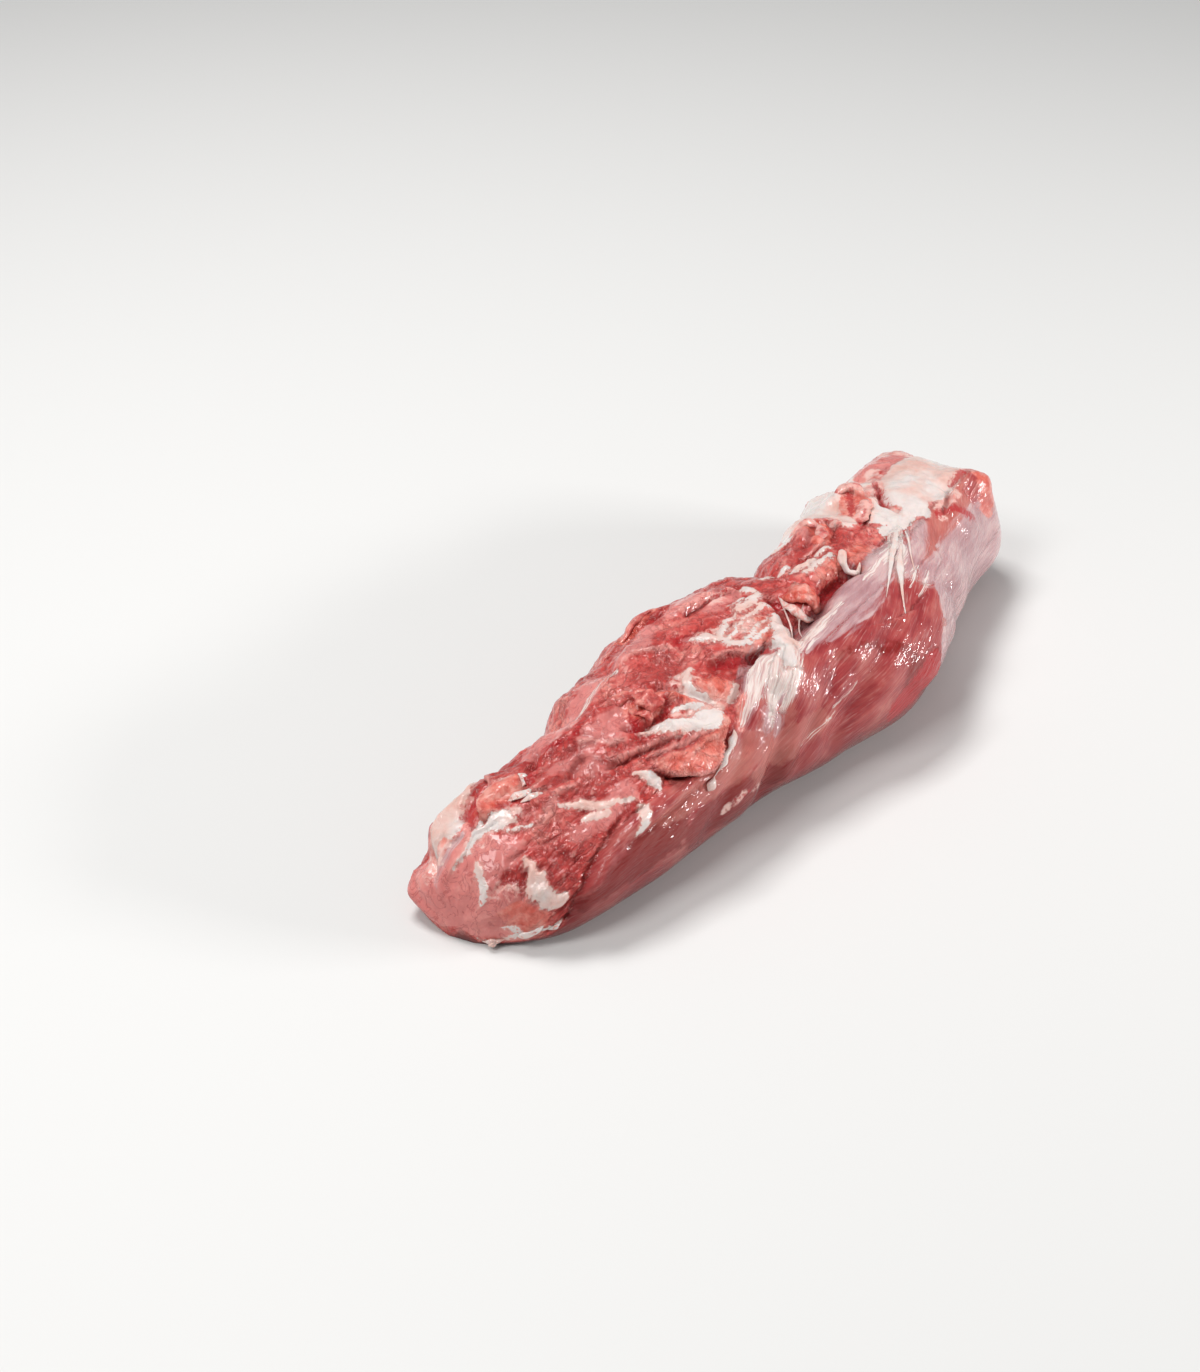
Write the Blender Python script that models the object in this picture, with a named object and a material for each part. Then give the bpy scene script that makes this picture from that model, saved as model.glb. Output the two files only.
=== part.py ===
"""A raw pork tenderloin, trimmed by the butcher and lying on its own flattened underside.

The muscle runs along X, with the thin tail at -X and the thick head at +X. The cut face, where the
chain and the fat were pulled off, is the crown and the +Y shoulder. The -Y side is smooth muscle under
silverskin. The origin is on the resting plane, under the middle of the muscle's box.
"""

import math

import bmesh
import bpy
import numpy as np
from mathutils import Vector, noise

MM = 0.001

# The loin as a whole, in millimetres: LENGTH from tail to head, and across it, at even steps from tail to
# head, how far the left edge (+Y) and the right edge (-Y) stand from the middle line, and how high it is.
LENGTH = 262.0
LEFT_EDGE = (37.0, 34.5, 32.0, 35.0, 38.9, 37.0, 30.7, 28.0, 31.7, 35.8, 35.9, 34.5)
RIGHT_EDGE = (12.2, 18.6, 22.9, 26.1, 28.9, 33.5, 39.0, 38.5, 32.2, 24.1, 18.6, 17.0)
CROWN_HEIGHT = (19.0, 29.5, 37.0, 42.3, 45.6, 47.2, 47.2, 46.2, 44.7, 43.0, 41.2, 36.5)
GIRTH_RADIUS = 29.0  # turns an angle around the loin into millimetres of skin

# The section is a slightly boxy oval whose lowest part is pressed flat by the loin's own weight.
BOXINESS = 0.88
SECTION_MIDDLE, SECTION_HALF = 0.46, 0.54  # shares of the height
END_ROUNDING = 0.07  # the share of the length over which either end closes
END_SQUARENESS = (2.4, 2.6)  # tail, head
END_THICKNESS = 0.25  # what is left of the height at the very end
TAIL_SLANT = 0.22  # the tail is cut askew: its left corner reaches further out
TAIL_SLANT_REACH = 0.25  # share of the length over which the slant dies out
TAIL_SLANT_CENTRE = 12.0

# How finely the skin is divided.
ALONG_SEGMENTS = 84
AROUND_SEGMENTS = 60
END_CROWDING = 0.25  # 0 spaces the rings evenly, 1 as on a globe

# A place on the skin is (along, around): millimetres from the tail, and degrees from the crown towards the
# right side. A stroke is a row of (along, around, width), with its height, or its depth below nought.
CREASES = (
    (-2.2, ((13, 74, 5), (17, 62, 6), (26, 51, 6), (40, 47, 5))),  # beside the tail's trimmed face
    (-1.4, ((31, -3, 5), (38, -2, 6), (48, -4, 5))),
    (-3.4, ((9, -44, 9), (12, -58, 12), (15, -74, 11))),  # behind the tail's outer corner
    (-1.8, ((62, -16, 5), (70, -9, 6), (76, 2, 6), (80, 15, 6), (82, 25, 5))),  # arch over the torn hollow
    (-1.4, ((47, 11, 5), (57, 19, 6), (67, 29, 5))),
    (-4.6, ((121, 27, 5), (127, 18, 8), (139, 11, 9), (150, 4, 9), (163, 5, 6))),  # cleft beside the chain
    (-2.2, ((101, 48, 7), (100, 62, 10), (98, 85, 11), (94, 115, 10))),  # where the muscle folds round
    (-1.8, ((148, 54, 6), (139, 62, 8), (126, 78, 9), (113, 104, 9))),
    (-1.2, ((118, 62, 6), (108, 80, 7), (103, 98, 7))),
    (-1.1, ((34, 60, 5), (48, 63, 5), (62, 62, 5))),
    (-3.0, ((58, -36, 8), (58, -54, 12), (59, -76, 11))),  # notches along the far shoulder
    (-1.8, ((81, -34, 8), (86, -50, 14), (88, -70, 12))),
    (-2.4, ((100, -42, 6), (107, -38, 7), (113, -34, 6))),
    (-3.4, ((149, -24, 8), (153, -42, 10), (156, -62, 11), (156, -84, 9))),  # waist behind the neck
    (-3.0, ((62, 0, 6), (62, 8, 7), (66, 15, 6))),  # torn hollow in front of the nodule
    (-3.6, ((204, -3, 7), (210, -5, 7), (214, -12, 6))),
    (-1.8, ((222, -30, 7), (222, -46, 9), (221, -66, 9))),
    (-2.4, ((192, 62, 8), (196, 80, 11), (203, 98, 11))),
    (-1.6, ((232, 22, 6), (238, 30, 7), (238, 44, 6))),
)
LUMPS = (
    (3.0, ((67, 4, 8), (70, 7, 9), (72, 11, 7))),  # red nodule
    (1.6, ((64, 15, 6), (70, 26, 8), (77, 32, 9))),  # thick fat
    (2.2, ((87, 17, 9), (88, 25, 9))),
    (3.0, ((133, 7, 8), (138, 5, 12), (143, 1, 9))),  # knob at the neck
    (2.4, ((146, -4, 9), (156, -5, 11), (168, -6, 9))),  # the chain's torn edge
    (1.8, ((159, 5, 5), (164, 1, 6), (169, 0, 5))),
    (1.8, ((112, 22, 6), (118, 18, 7), (126, 12, 6))),  # fold of fat
    (1.6, ((102, 0, 6), (108, 6, 7), (116, 9, 7))),
    (1.6, ((24, -34, 10), (31, -38, 12))),  # fat on the tail's shoulder
    (1.4, ((24, -22, 9), (31, -20, 8))),
    (2.4, ((4, -96, 9), (6, -112, 9))),  # the tail's outer corner
    (1.2, ((68, -44, 9), (70, -64, 10))),
    (1.6, ((109, -46, 9), (115, -60, 11))),
    (1.6, ((138, -38, 9), (141, -54, 10), (142, -78, 10))),  # shoulder of the neck
    (2.4, ((172, -26, 12), (180, -22, 13))),
    (2.4, ((190, -38, 14), (198, -52, 15), (206, -62, 13))),
    (1.0, ((200, -26, 12), (206, -34, 12))),
    (1.2, ((230, -32, 12), (236, -36, 12))),
    (2.2, ((252, -34, 12), (254, -56, 13))),
    (4.0, ((240, 26, 12), (246, 34, 12))),  # red nub at the head
)
# A ledge is a layer that ends in a step: (rise, reach, path), with the layer on the left of the path and
# thinning out over its reach.
LEDGES = (
    (3.2, 15.0, ((78, 44), (74, 54), (68, 58), (60, 52), (54, 44), (50, 32))),  # flap over the smooth side
    (1.8, 11.0, ((92, 36), (97, 30), (105, 25), (112, 22), (118, 17))),
    (2.6, 26.0, ((170, 32), (175, 46), (171, 62), (165, 76), (162, 90), (161, 104))),  # muscle over the head
    (1.7, 10.0, ((30, -2), (32, -14), (37, -26))),
    (1.6, 12.0, ((22, -10), (20, -22), (26, -38))),
    (1.8, 14.0, ((215, 34), (226, 30), (236, 26))),
)
LEDGE_EDGE = 2.6

# Unevenness of the flesh: broad swells everywhere, and crags on the cut face only.
SWELL_SIZE, SWELL_HEIGHT = 17.0, 1.3
CRAG_SIZE, CRAG_HEIGHT = 6.0, 0.9
# The border between the cut face and the smooth side, as (along, around).
TRIM_LINE = ((0, 70), (16, 62), (28, 50), (52, 45), (68, 56), (82, 44), (104, 26), (124, 20))
TRIM_LINE += ((150, 3), (165, 4), (182, 10), (205, 22), (262, 24))
BACK_LINE = -68.0  # where the cut face ends on the far shoulder
TRIM_SOFTNESS = 7.0
RESTING_MARGIN = (1.5, 9.0)  # the relief fades in between these heights above the board
RELIEF_CENTRE = (-0.9, -0.7)  # how far the relief moves the middle of the loin's box

FLESH_COLOUR = (0.45, 0.115, 0.11, 1.0)
FLESH_ROUGHNESS = 0.32


def clear_scene():
    for obj in list(bpy.data.objects):
        bpy.data.objects.remove(obj)


def smooth(value):
    value = np.clip(value, 0.0, 1.0)
    return value * value * (3.0 - 2.0 * value)


def through(values, share):
    """A smooth curve through evenly spaced values, read at a share of its length."""
    values = np.asarray(values, float)
    last = len(values) - 1
    place = np.clip(share, 0.0, 1.0) * last
    index = np.minimum(place.astype(int), last - 1)
    u = place - index
    slope = np.gradient(values)
    rise = 3 * u**2 - 2 * u**3
    blend = (1 - rise) * values[index] + rise * values[index + 1]
    return blend + (u**3 - 2 * u**2 + u) * slope[index] + (u**3 - u**2) * slope[index + 1]


def powered(value):
    return np.sign(value) * np.abs(value) ** BOXINESS


def end_closing(share):
    """1 along the loin, falling to 0 in a rounded way at both ends."""
    closing = np.ones_like(share)
    for distance, squareness in zip((share, 1.0 - share), END_SQUARENESS):
        inside = np.clip(1.0 - distance / END_ROUNDING, 0.0, 1.0)
        closing = np.minimum(closing, np.sqrt(1.0 - inside**squareness))
    return closing


def plain_loin(share, around):
    """Points of the loin without its relief, in millimetres, for shares of the length and angles in radians."""
    left = through(LEFT_EDGE, share)
    right = through(RIGHT_EDGE, share)
    closing = end_closing(share)
    height = through(CROWN_HEIGHT, share) * (END_THICKNESS + (1 - END_THICKNESS) * closing)
    y = (left - right) / 2 - powered(np.sin(around)) * (left + right) / 2 * closing
    z = height * (SECTION_MIDDLE + SECTION_HALF * powered(np.cos(around)))
    slant = TAIL_SLANT * (y - TAIL_SLANT_CENTRE) * np.clip(1 - share / TAIL_SLANT_REACH, 0, 1) ** 2
    x = LENGTH * (share - 0.5) - slant
    return np.stack((x, y, np.maximum(z, 0.0)), axis=-1)


def outward(share, around):
    """Unit normals of the plain loin."""
    step = 1e-3
    along_way = plain_loin(np.clip(share + step, 0, 1), around) - plain_loin(np.clip(share - step, 0, 1), around)
    around_way = plain_loin(share, around + step) - plain_loin(share, around - step)
    normal = np.cross(along_way, around_way)
    length = np.linalg.norm(normal, axis=-1, keepdims=True)
    ends = np.stack((np.where(share < 0.5, -1.0, 1.0), 0 * share, 0 * share), axis=-1)
    return np.where(length > 1e-9, -normal / np.maximum(length, 1e-9), ends)


def nearest_on(path, along, around):
    """For each place on the skin: its signed distance from a path, in millimetres, how far along the path
    the nearest point is, as a share, and the width there if the path has one."""
    scale = (1.0, math.radians(1.0) * GIRTH_RADIUS)
    points = np.array([(p[0] * scale[0], p[1] * scale[1]) for p in path])
    widths = np.array([p[2] if len(p) > 2 else 0.0 for p in path])
    place = np.stack((along, around * GIRTH_RADIUS), axis=-1)
    lengths = np.linalg.norm(np.diff(points, axis=0), axis=1)
    starts = np.concatenate(((0.0,), np.cumsum(lengths)))
    best = np.full(along.shape, np.inf)
    sign, share, width = np.ones_like(best), np.zeros_like(best), np.zeros_like(best)
    for i, (start, end) in enumerate(zip(points[:-1], points[1:])):
        way = end - start
        u = np.clip((place - start) @ way / (way @ way), 0.0, 1.0)
        gap = place - (start + u[..., None] * way)
        distance = np.linalg.norm(gap, axis=-1)
        nearer = distance < best
        best = np.where(nearer, distance, best)
        sign = np.where(nearer, np.sign(way[0] * gap[..., 1] - way[1] * gap[..., 0]), sign)
        share = np.where(nearer, (starts[i] + u * lengths[i]) / starts[-1], share)
        width = np.where(nearer, widths[i] + u * (widths[i + 1] - widths[i]), width)
    return best * sign, share, width


def stroke_height(height, path, along, around):
    distance, _, width = nearest_on(path, along, around)
    return height * np.exp(-((distance / (0.55 * width)) ** 2))


def ledge_height(rise, reach, path, along, around):
    distance, share, _ = nearest_on(path, along, around)
    inside = np.maximum(distance, 0.0)
    fade = smooth(np.minimum(share, 1.0 - share) / 0.18)
    return rise * fade * smooth(inside / LEDGE_EDGE) * np.exp(-((inside / reach) ** 2))


def cut_face(along, around):
    """1 on the cut face and 0 on the smooth side, the back and the underside."""
    trim = np.interp(along, *np.array(TRIM_LINE).T)
    degrees = np.degrees(around)
    front = smooth(0.5 + (trim - degrees) / TRIM_SOFTNESS)
    return front * smooth(0.5 + (degrees - BACK_LINE) / (2 * TRIM_SOFTNESS))


def unevenness(points, face):
    """Broad swells and torn crags, in millimetres."""
    swell = [noise.noise(Vector(p) / SWELL_SIZE) for p in points]
    crag = [noise.ridged_multi_fractal(Vector(p) / CRAG_SIZE, 1.0, 2.0, 2, 1.0, 2.0) for p in points]
    return SWELL_HEIGHT * np.array(swell) + CRAG_HEIGHT * face * (np.array(crag) - 1.2)


def loin_points(share, around):
    """The finished skin, in millimetres."""
    points = plain_loin(share, around)
    along = share * LENGTH
    relief = unevenness(points, cut_face(along, around))
    for height, path in CREASES + LUMPS:
        relief += stroke_height(height, path, along, around)
    for rise, reach, path in LEDGES:
        relief += ledge_height(rise, reach, path, along, around)
    low, high = RESTING_MARGIN
    relief *= smooth((points[..., 2] - low) / (high - low))
    raised = points + outward(share, around) * relief[..., None]
    raised[..., 2] = np.maximum(raised[..., 2], 0.0)
    raised[..., :2] -= RELIEF_CENTRE
    return raised


def make_loin():
    """A globe with its poles at the tail and the head, each vertex then moved to its place on the skin."""
    bm = bmesh.new()
    bmesh.ops.create_uvsphere(bm, u_segments=AROUND_SEGMENTS, v_segments=ALONG_SEGMENTS, radius=1.0)
    globe = np.array([vert.co for vert in bm.verts])
    latitude = np.arccos(np.clip(-globe[:, 2], -1.0, 1.0)) / math.pi
    crowded = (1.0 - np.cos(latitude * math.pi)) / 2.0
    share = END_CROWDING * crowded + (1.0 - END_CROWDING) * latitude
    around = np.arctan2(globe[:, 1], globe[:, 0])
    for vert, point in zip(bm.verts, loin_points(share, around)):
        vert.co = point * MM
    bm.normal_update()
    bmesh.ops.recalc_face_normals(bm, faces=bm.faces)
    mesh = bpy.data.meshes.new("tenderloin")
    bm.to_mesh(mesh)
    bm.free()
    mesh.shade_smooth()
    return bpy.data.objects.new("tenderloin", mesh)


def flesh_material():
    material = bpy.data.materials.new("raw_pork")
    material.use_nodes = True
    shader = material.node_tree.nodes["Principled BSDF"]
    shader.inputs["Base Color"].default_value = FLESH_COLOUR
    shader.inputs["Roughness"].default_value = FLESH_ROUGHNESS
    shader.inputs["Metallic"].default_value = 0.0
    return material


def main():
    clear_scene()
    collection = bpy.data.collections.new("pork_tenderloin")
    bpy.context.scene.collection.children.link(collection)
    loin = make_loin()
    loin.data.materials.append(flesh_material())
    collection.objects.link(loin)


main()
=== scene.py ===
import math

import bmesh
import bpy
import numpy as np
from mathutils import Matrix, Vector, noise


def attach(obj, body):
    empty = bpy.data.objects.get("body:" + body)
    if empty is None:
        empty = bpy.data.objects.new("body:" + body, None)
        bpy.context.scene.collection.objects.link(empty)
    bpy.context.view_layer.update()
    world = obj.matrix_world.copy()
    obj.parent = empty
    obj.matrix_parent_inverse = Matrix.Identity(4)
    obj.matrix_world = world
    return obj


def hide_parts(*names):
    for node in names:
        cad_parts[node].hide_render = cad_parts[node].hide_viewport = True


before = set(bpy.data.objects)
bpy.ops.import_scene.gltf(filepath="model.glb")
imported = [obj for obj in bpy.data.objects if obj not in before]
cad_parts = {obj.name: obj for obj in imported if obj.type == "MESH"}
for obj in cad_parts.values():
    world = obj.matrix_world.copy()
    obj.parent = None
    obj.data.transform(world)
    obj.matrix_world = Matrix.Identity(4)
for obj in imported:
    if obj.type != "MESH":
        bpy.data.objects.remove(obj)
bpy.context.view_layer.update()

# The loin itself: one long muscle, thin at the tail (-X) and thick at the head (+X), trimmed by hand and laid
# cut face up. The cut face is torn where the chain and the fat came off. The -Y side is whole muscle, which
# runs under a skin of fascia towards the head. It is worked out in millimetres and made in metres.
MM = 0.001
TINY = 1e-9
LENGTH = 262.0
LEFT_EDGE = (37.0, 34.5, 32.0, 35.0, 38.9, 37.0, 30.7, 28.0, 31.7, 35.8, 35.9, 34.5)
RIGHT_EDGE = (12.2, 18.6, 22.9, 26.1, 28.9, 33.5, 39.0, 38.5, 32.2, 24.1, 18.6, 17.0)
CROWN_HEIGHT = (19.0, 29.5, 37.0, 42.3, 45.6, 47.2, 47.2, 46.2, 44.7, 43.0, 41.2, 36.5)
GIRTH_RADIUS = 29.0
BOXINESS = 0.88
SECTION_MIDDLE, SECTION_HALF = 0.46, 0.54
END_ROUNDING, END_SQUARENESS, END_THICKNESS = 0.07, (2.4, 2.6), 0.25
TAIL_SLANT, TAIL_SLANT_REACH, TAIL_SLANT_CENTRE = 0.22, 0.25, 12.0
RESTING_MARGIN = (1.5, 9.0)
RELIEF_CENTRE = (-0.9, -0.7)


def smooth(value):
    value = np.clip(value, 0.0, 1.0)
    return value * value * (3.0 - 2.0 * value)


def through(values, share):
    """A smooth curve through evenly spaced values, read at a share of its length."""
    values = np.asarray(values, float)
    place = np.clip(share, 0.0, 1.0) * (len(values) - 1)
    index = np.minimum(place.astype(int), len(values) - 2)
    u = place - index
    slope = np.gradient(values)
    rise = 3 * u**2 - 2 * u**3
    blend = (1 - rise) * values[index] + rise * values[index + 1]
    return blend + (u**3 - 2 * u**2 + u) * slope[index] + (u**3 - u**2) * slope[index + 1]


def powered(value):
    return np.sign(value) * np.abs(value) ** BOXINESS


def end_closing(share):
    """How far the loin is from closing to a point: 0 at its two ends and 1 past their rounding."""
    closing = np.ones_like(share)
    for distance, squareness in zip((share, 1.0 - share), END_SQUARENESS):
        inside = np.clip(1.0 - distance / END_ROUNDING, 0.0, 1.0)
        closing = np.minimum(closing, np.sqrt(1.0 - inside**squareness))
    return closing


def plain_loin(share, around):
    """Points of the untorn loin, in millimetres, for shares of its length and angles from the crown."""
    left, right = through(LEFT_EDGE, share), through(RIGHT_EDGE, share)
    closing = end_closing(share)
    height = through(CROWN_HEIGHT, share) * (END_THICKNESS + (1 - END_THICKNESS) * closing)
    y = (left - right) / 2 - powered(np.sin(around)) * (left + right) / 2 * closing
    z = height * (SECTION_MIDDLE + SECTION_HALF * powered(np.cos(around)))
    slant = TAIL_SLANT * (y - TAIL_SLANT_CENTRE) * np.clip(1 - share / TAIL_SLANT_REACH, 0, 1) ** 2
    return np.stack((LENGTH * (share - 0.5) - slant, y, np.maximum(z, 0.0)), axis=-1)


def skin_axes(share, around):
    """Unit vectors of the untorn loin: outward, along it, and around it towards the right side."""
    step = 1e-3
    ahead, behind = np.clip(share + step, 0, 1), np.clip(share - step, 0, 1)
    along_way = plain_loin(ahead, around) - plain_loin(behind, around)
    around_way = plain_loin(share, around + step) - plain_loin(share, around - step)
    outward = np.cross(around_way, along_way)
    length = np.linalg.norm(outward, axis=-1, keepdims=True)
    ends = np.stack((np.where(share < 0.5, -1.0, 1.0), 0 * share, 0 * share), axis=-1)
    outward = np.where(length > TINY, outward / np.maximum(length, TINY), ends)
    along_way /= np.maximum(np.linalg.norm(along_way, axis=-1, keepdims=True), TINY)
    around_way /= np.maximum(np.linalg.norm(around_way, axis=-1, keepdims=True), TINY)
    return outward, along_way, around_way


def perlin(points, size, seed=0.0):
    """Smooth noise between about -1 and 1, with lumps of one size in millimetres (or three, for x, y, z)."""
    scaled = np.asarray(points) / size + seed
    return np.array([noise.noise(Vector(p)) for p in scaled])


def nearest_on(path, along, girth):
    """How far each place on the skin is from a path, in millimetres: the distance, negative on its right, the
    share of the path at the nearest point, the path's width there, the unit vector away, and its length."""
    scale = math.radians(1.0) * GIRTH_RADIUS
    points = np.array([(p[0], p[1] * scale) for p in path])
    widths = np.array([p[2] if len(p) > 2 else 0.0 for p in path])
    place = np.stack((along, girth), axis=-1)
    lengths = np.linalg.norm(np.diff(points, axis=0), axis=1)
    starts = np.concatenate(((0.0,), np.cumsum(lengths)))
    best, away = np.full(along.shape, np.inf), np.zeros(place.shape)
    sign, share, width = np.ones_like(best), np.zeros_like(best), np.zeros_like(best)
    for i, (start, end) in enumerate(zip(points[:-1], points[1:])):
        way = end - start
        u = np.clip((place - start) @ way / (way @ way), 0.0, 1.0)
        gap = place - (start + u[..., None] * way)
        distance = np.linalg.norm(gap, axis=-1)
        nearer = distance < best
        best = np.where(nearer, distance, best)
        away = np.where(nearer[..., None], gap, away)
        sign = np.where(nearer, np.sign(way[0] * gap[..., 1] - way[1] * gap[..., 0]), sign)
        share = np.where(nearer, (starts[i] + u * lengths[i]) / starts[-1], share)
        width = np.where(nearer, widths[i] + u * (widths[i + 1] - widths[i]), width)
    return best * sign, share, width, away / np.maximum(best, TINY)[..., None], starts[-1]


# A place on the skin is (along, around): millimetres from the tail, and degrees from the crown towards the
# right side. Creases and lumps are strokes (height, ((along, around, width), ...)).
CREASES = (
    (-1.7, ((11, 92, 4), (14, 72, 4), (18, 64, 4), (22, 57, 4), (26, 53, 3.5), (31, 50, 3), (36, 48, 2),
     (44, 48, 1.6))),
    (-0.8, ((12, 12, 3), (16, 12.5, 4), (22, 15, 2.5))),
    (-1.9, ((31, -4, 2), (34, -3, 2.5), (37, -1.5, 2.5), (41, -0.5, 2), (44, -2, 2), (46.5, -2, 2))),
    (-0.9, ((46.5, -2, 1.8), (48, 3, 1.6), (48, 12, 1.8), (53, 16, 2))),
    (-1.9, ((33, -12, 3.5), (34, -17, 3.5), (38, -22, 2.5), (44, -30, 2))),
    (-3.6, ((7, -40, 4), (9, -50, 6), (10, -62, 8), (12, -78, 9))),
    (-1.2, ((18, -30, 3), (22, -36, 3), (25, -42, 2))),
    (-1.6, ((62.5, -16, 2), (66, -12.5, 3), (70, -10, 2))),
    (-1.6, ((72, -8, 3), (77, 1, 3.5), (80, 9, 3.5), (82, 18, 3.5), (84, 27, 3))),
    (-1.3, ((47, 11, 2), (51, 15, 2.5), (57, 20, 2.5), (62, 25, 3), (66, 30, 3))),
    (-1.0, ((56, 26, 2), (62, 32, 2.5), (69, 38, 2))),
    (-4.8, ((122, 25, 3), (127, 18.5, 5), (133, 16, 4.5), (139, 13, 4), (145, 8, 4), (152, 4.5, 4),
     (159, 4, 4), (165, 7, 3))),
    (-2.6, ((124, 13, 3), (128, 10, 4), (131, 5, 4), (132, 0, 3))),
    (-2.8, ((101, 48, 7), (99, 60, 8), (96, 78, 10), (90, 110, 10))),
    (-2.4, ((150, 48, 6), (142, 56, 7), (131, 70, 8), (118, 96, 9))),
    (-1.5, ((126, 50, 5), (119, 60, 6), (110, 78, 7), (103, 98, 7))),
    (-1.2, ((82, 62, 6), (74, 78, 7), (66, 100, 8))),
    (-1.0, ((34, 61, 3), (48, 64, 3), (62, 64, 3))),
    (-3.0, ((58, -36, 8), (58, -54, 12), (59, -76, 11))),
    (-1.8, ((81, -34, 8), (86, -50, 14), (88, -70, 12))),
    (-2.8, ((99, -42, 6), (102, -36, 4), (107, -34, 4), (112, -33, 3))),
    (-3.4, ((149, -24, 8), (153, -42, 10), (156, -62, 11), (156, -84, 9))),
    (-2.2, ((60.5, 4, 3), (61.5, 9, 4), (64, 12, 3))),
    (-2.0, ((65, 12, 4), (70, 14, 4), (75, 11, 3))),
    (-2.8, ((206, -2, 2.5), (209, -1.5, 3.5), (213, -6, 3), (217, -13, 2))),
    (-1.8, ((222, -30, 7), (222, -46, 9), (221, -66, 9))),
    (-2.4, ((192, 62, 8), (196, 80, 11), (203, 98, 11))),
    (-1.6, ((232, 22, 6), (238, 30, 7), (238, 44, 6))),
    (-1.9, ((95, 13, 4), (99, 17, 5), (103, 21, 4))),
    (-3.2, ((106, 22, 3.5), (110, 24.5, 5), (113, 25, 3))),
    (-1.2, ((96, -4, 3), (99, -6, 5), (103, -5, 3))),
    (-0.9, ((112, -20, 1.6), (117, -21, 2), (122, -23, 2), (126, -23, 1.6), (130, -26, 1.4))),
    (-1.0, ((128, -12, 2), (131, -17, 2), (133, -22, 2))),
    (-1.2, ((143, -14, 2.5), (147, -16, 2.5))),
    (-1.0, ((151, -16, 2), (156, -20, 2), (160, -24, 2))),
    (-1.4, ((157, -15, 3), (160, -13, 3))),
    (-1.8, ((166, -24, 3), (171, -24, 2.5), (175, -24, 2))),
    (-1.8, ((168, -13, 3), (173, -11, 3), (178, -14, 3), (181, -20, 2))),
    (-1.8, ((190, -4, 3), (193, -3.5, 3.5), (196, -5, 2))),
    (-1.3, ((181, 6, 2), (187, 8, 2.5), (192, 8, 3), (196, 9, 2))),
    (-1.3, ((200, 14, 3), (205, 16, 3))),
    (-1.0, ((42, 36, 3), (38, 43, 3), (32, 46, 2))),
    (-0.5, ((51, -1, 1.4), (58, -3, 1.6), (63, -5, 1.8))),
    (-0.8, ((56, 8, 2), (60, 14, 2), (66, 20, 1.6))),
    (-0.7, ((13, 12, 1.2), (16, 14, 1.5), (18, 17, 1.5), (22, 24, 1.2))),
    (-0.8, ((52, -14, 1.5), (54, 0, 2), (54, 10, 2), (60, 18, 1.5))),
    (-0.7, ((65, -16, 1.5), (70, -13, 1.6), (74, -2, 1.6), (79, 4, 1.6), (82, 12, 1.4))),
    (-0.9, ((109.5, 36, 1.4), (107.5, 40, 1.6))),
)
LUMPS = (
    (2.4, ((16, -56, 9), (22, -52, 11), (28, -50, 12))),
    (1.2, ((24, -34, 10), (31, -38, 12))),
    (1.7, ((21, -22, 6), (26, -21, 8), (33, -22, 6))),
    (2.4, ((4, -96, 9), (6, -112, 9))),
    (1.2, ((68, -44, 9), (70, -64, 10))),
    (0.7, ((109, -46, 9), (115, -60, 11))),
    (1.6, ((138, -38, 9), (141, -54, 10), (142, -78, 10))),
    (1.6, ((86, 17, 6), (89, 22, 7), (90, 26, 5))),
    (1.6, ((146, -4, 7), (156, -5, 9), (168, -6, 8))),
    (2.4, ((172, -26, 12), (180, -22, 13))),
    (2.6, ((184, -50, 13), (191, -43, 14), (199, -46, 14), (206, -60, 13))),
    (1.0, ((200, -26, 12), (206, -34, 12))),
    (1.2, ((230, -32, 12), (236, -36, 12))),
    (2.2, ((252, -34, 12), (254, -56, 13))),
    (4.0, ((242, 24, 12), (248, 34, 12))),
    (1.1, ((51, -14, 8), (58, -12, 8))),
    (0.9, ((58, 10, 6), (68, 22, 5))),
    (1.0, ((84, -24, 6), (90, -26, 5))),
    (1.5, ((20, 70, 6), (26, 60, 6), (36, 55, 6), (48, 54, 6), (60, 60, 5))),
    (1.5, ((62, -12, 5), (68, -7, 4), (73, -3, 4), (77, 6, 4), (79, 16, 4), (80, 26, 3))),
    (1.2, ((100, -30, 6), (112, -27, 6), (122, -28, 6))),
    (1.0, ((99, -48, 6), (107, -43, 7), (114, -42, 6))),
    (1.6, ((196, -30, 5), (203, -27, 5), (206, -18, 4), (203, -9, 4), (196, -8, 4))),
    (1.4, ((174, -33, 5), (178, -28, 4), (177, -20, 4))),
)
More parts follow.
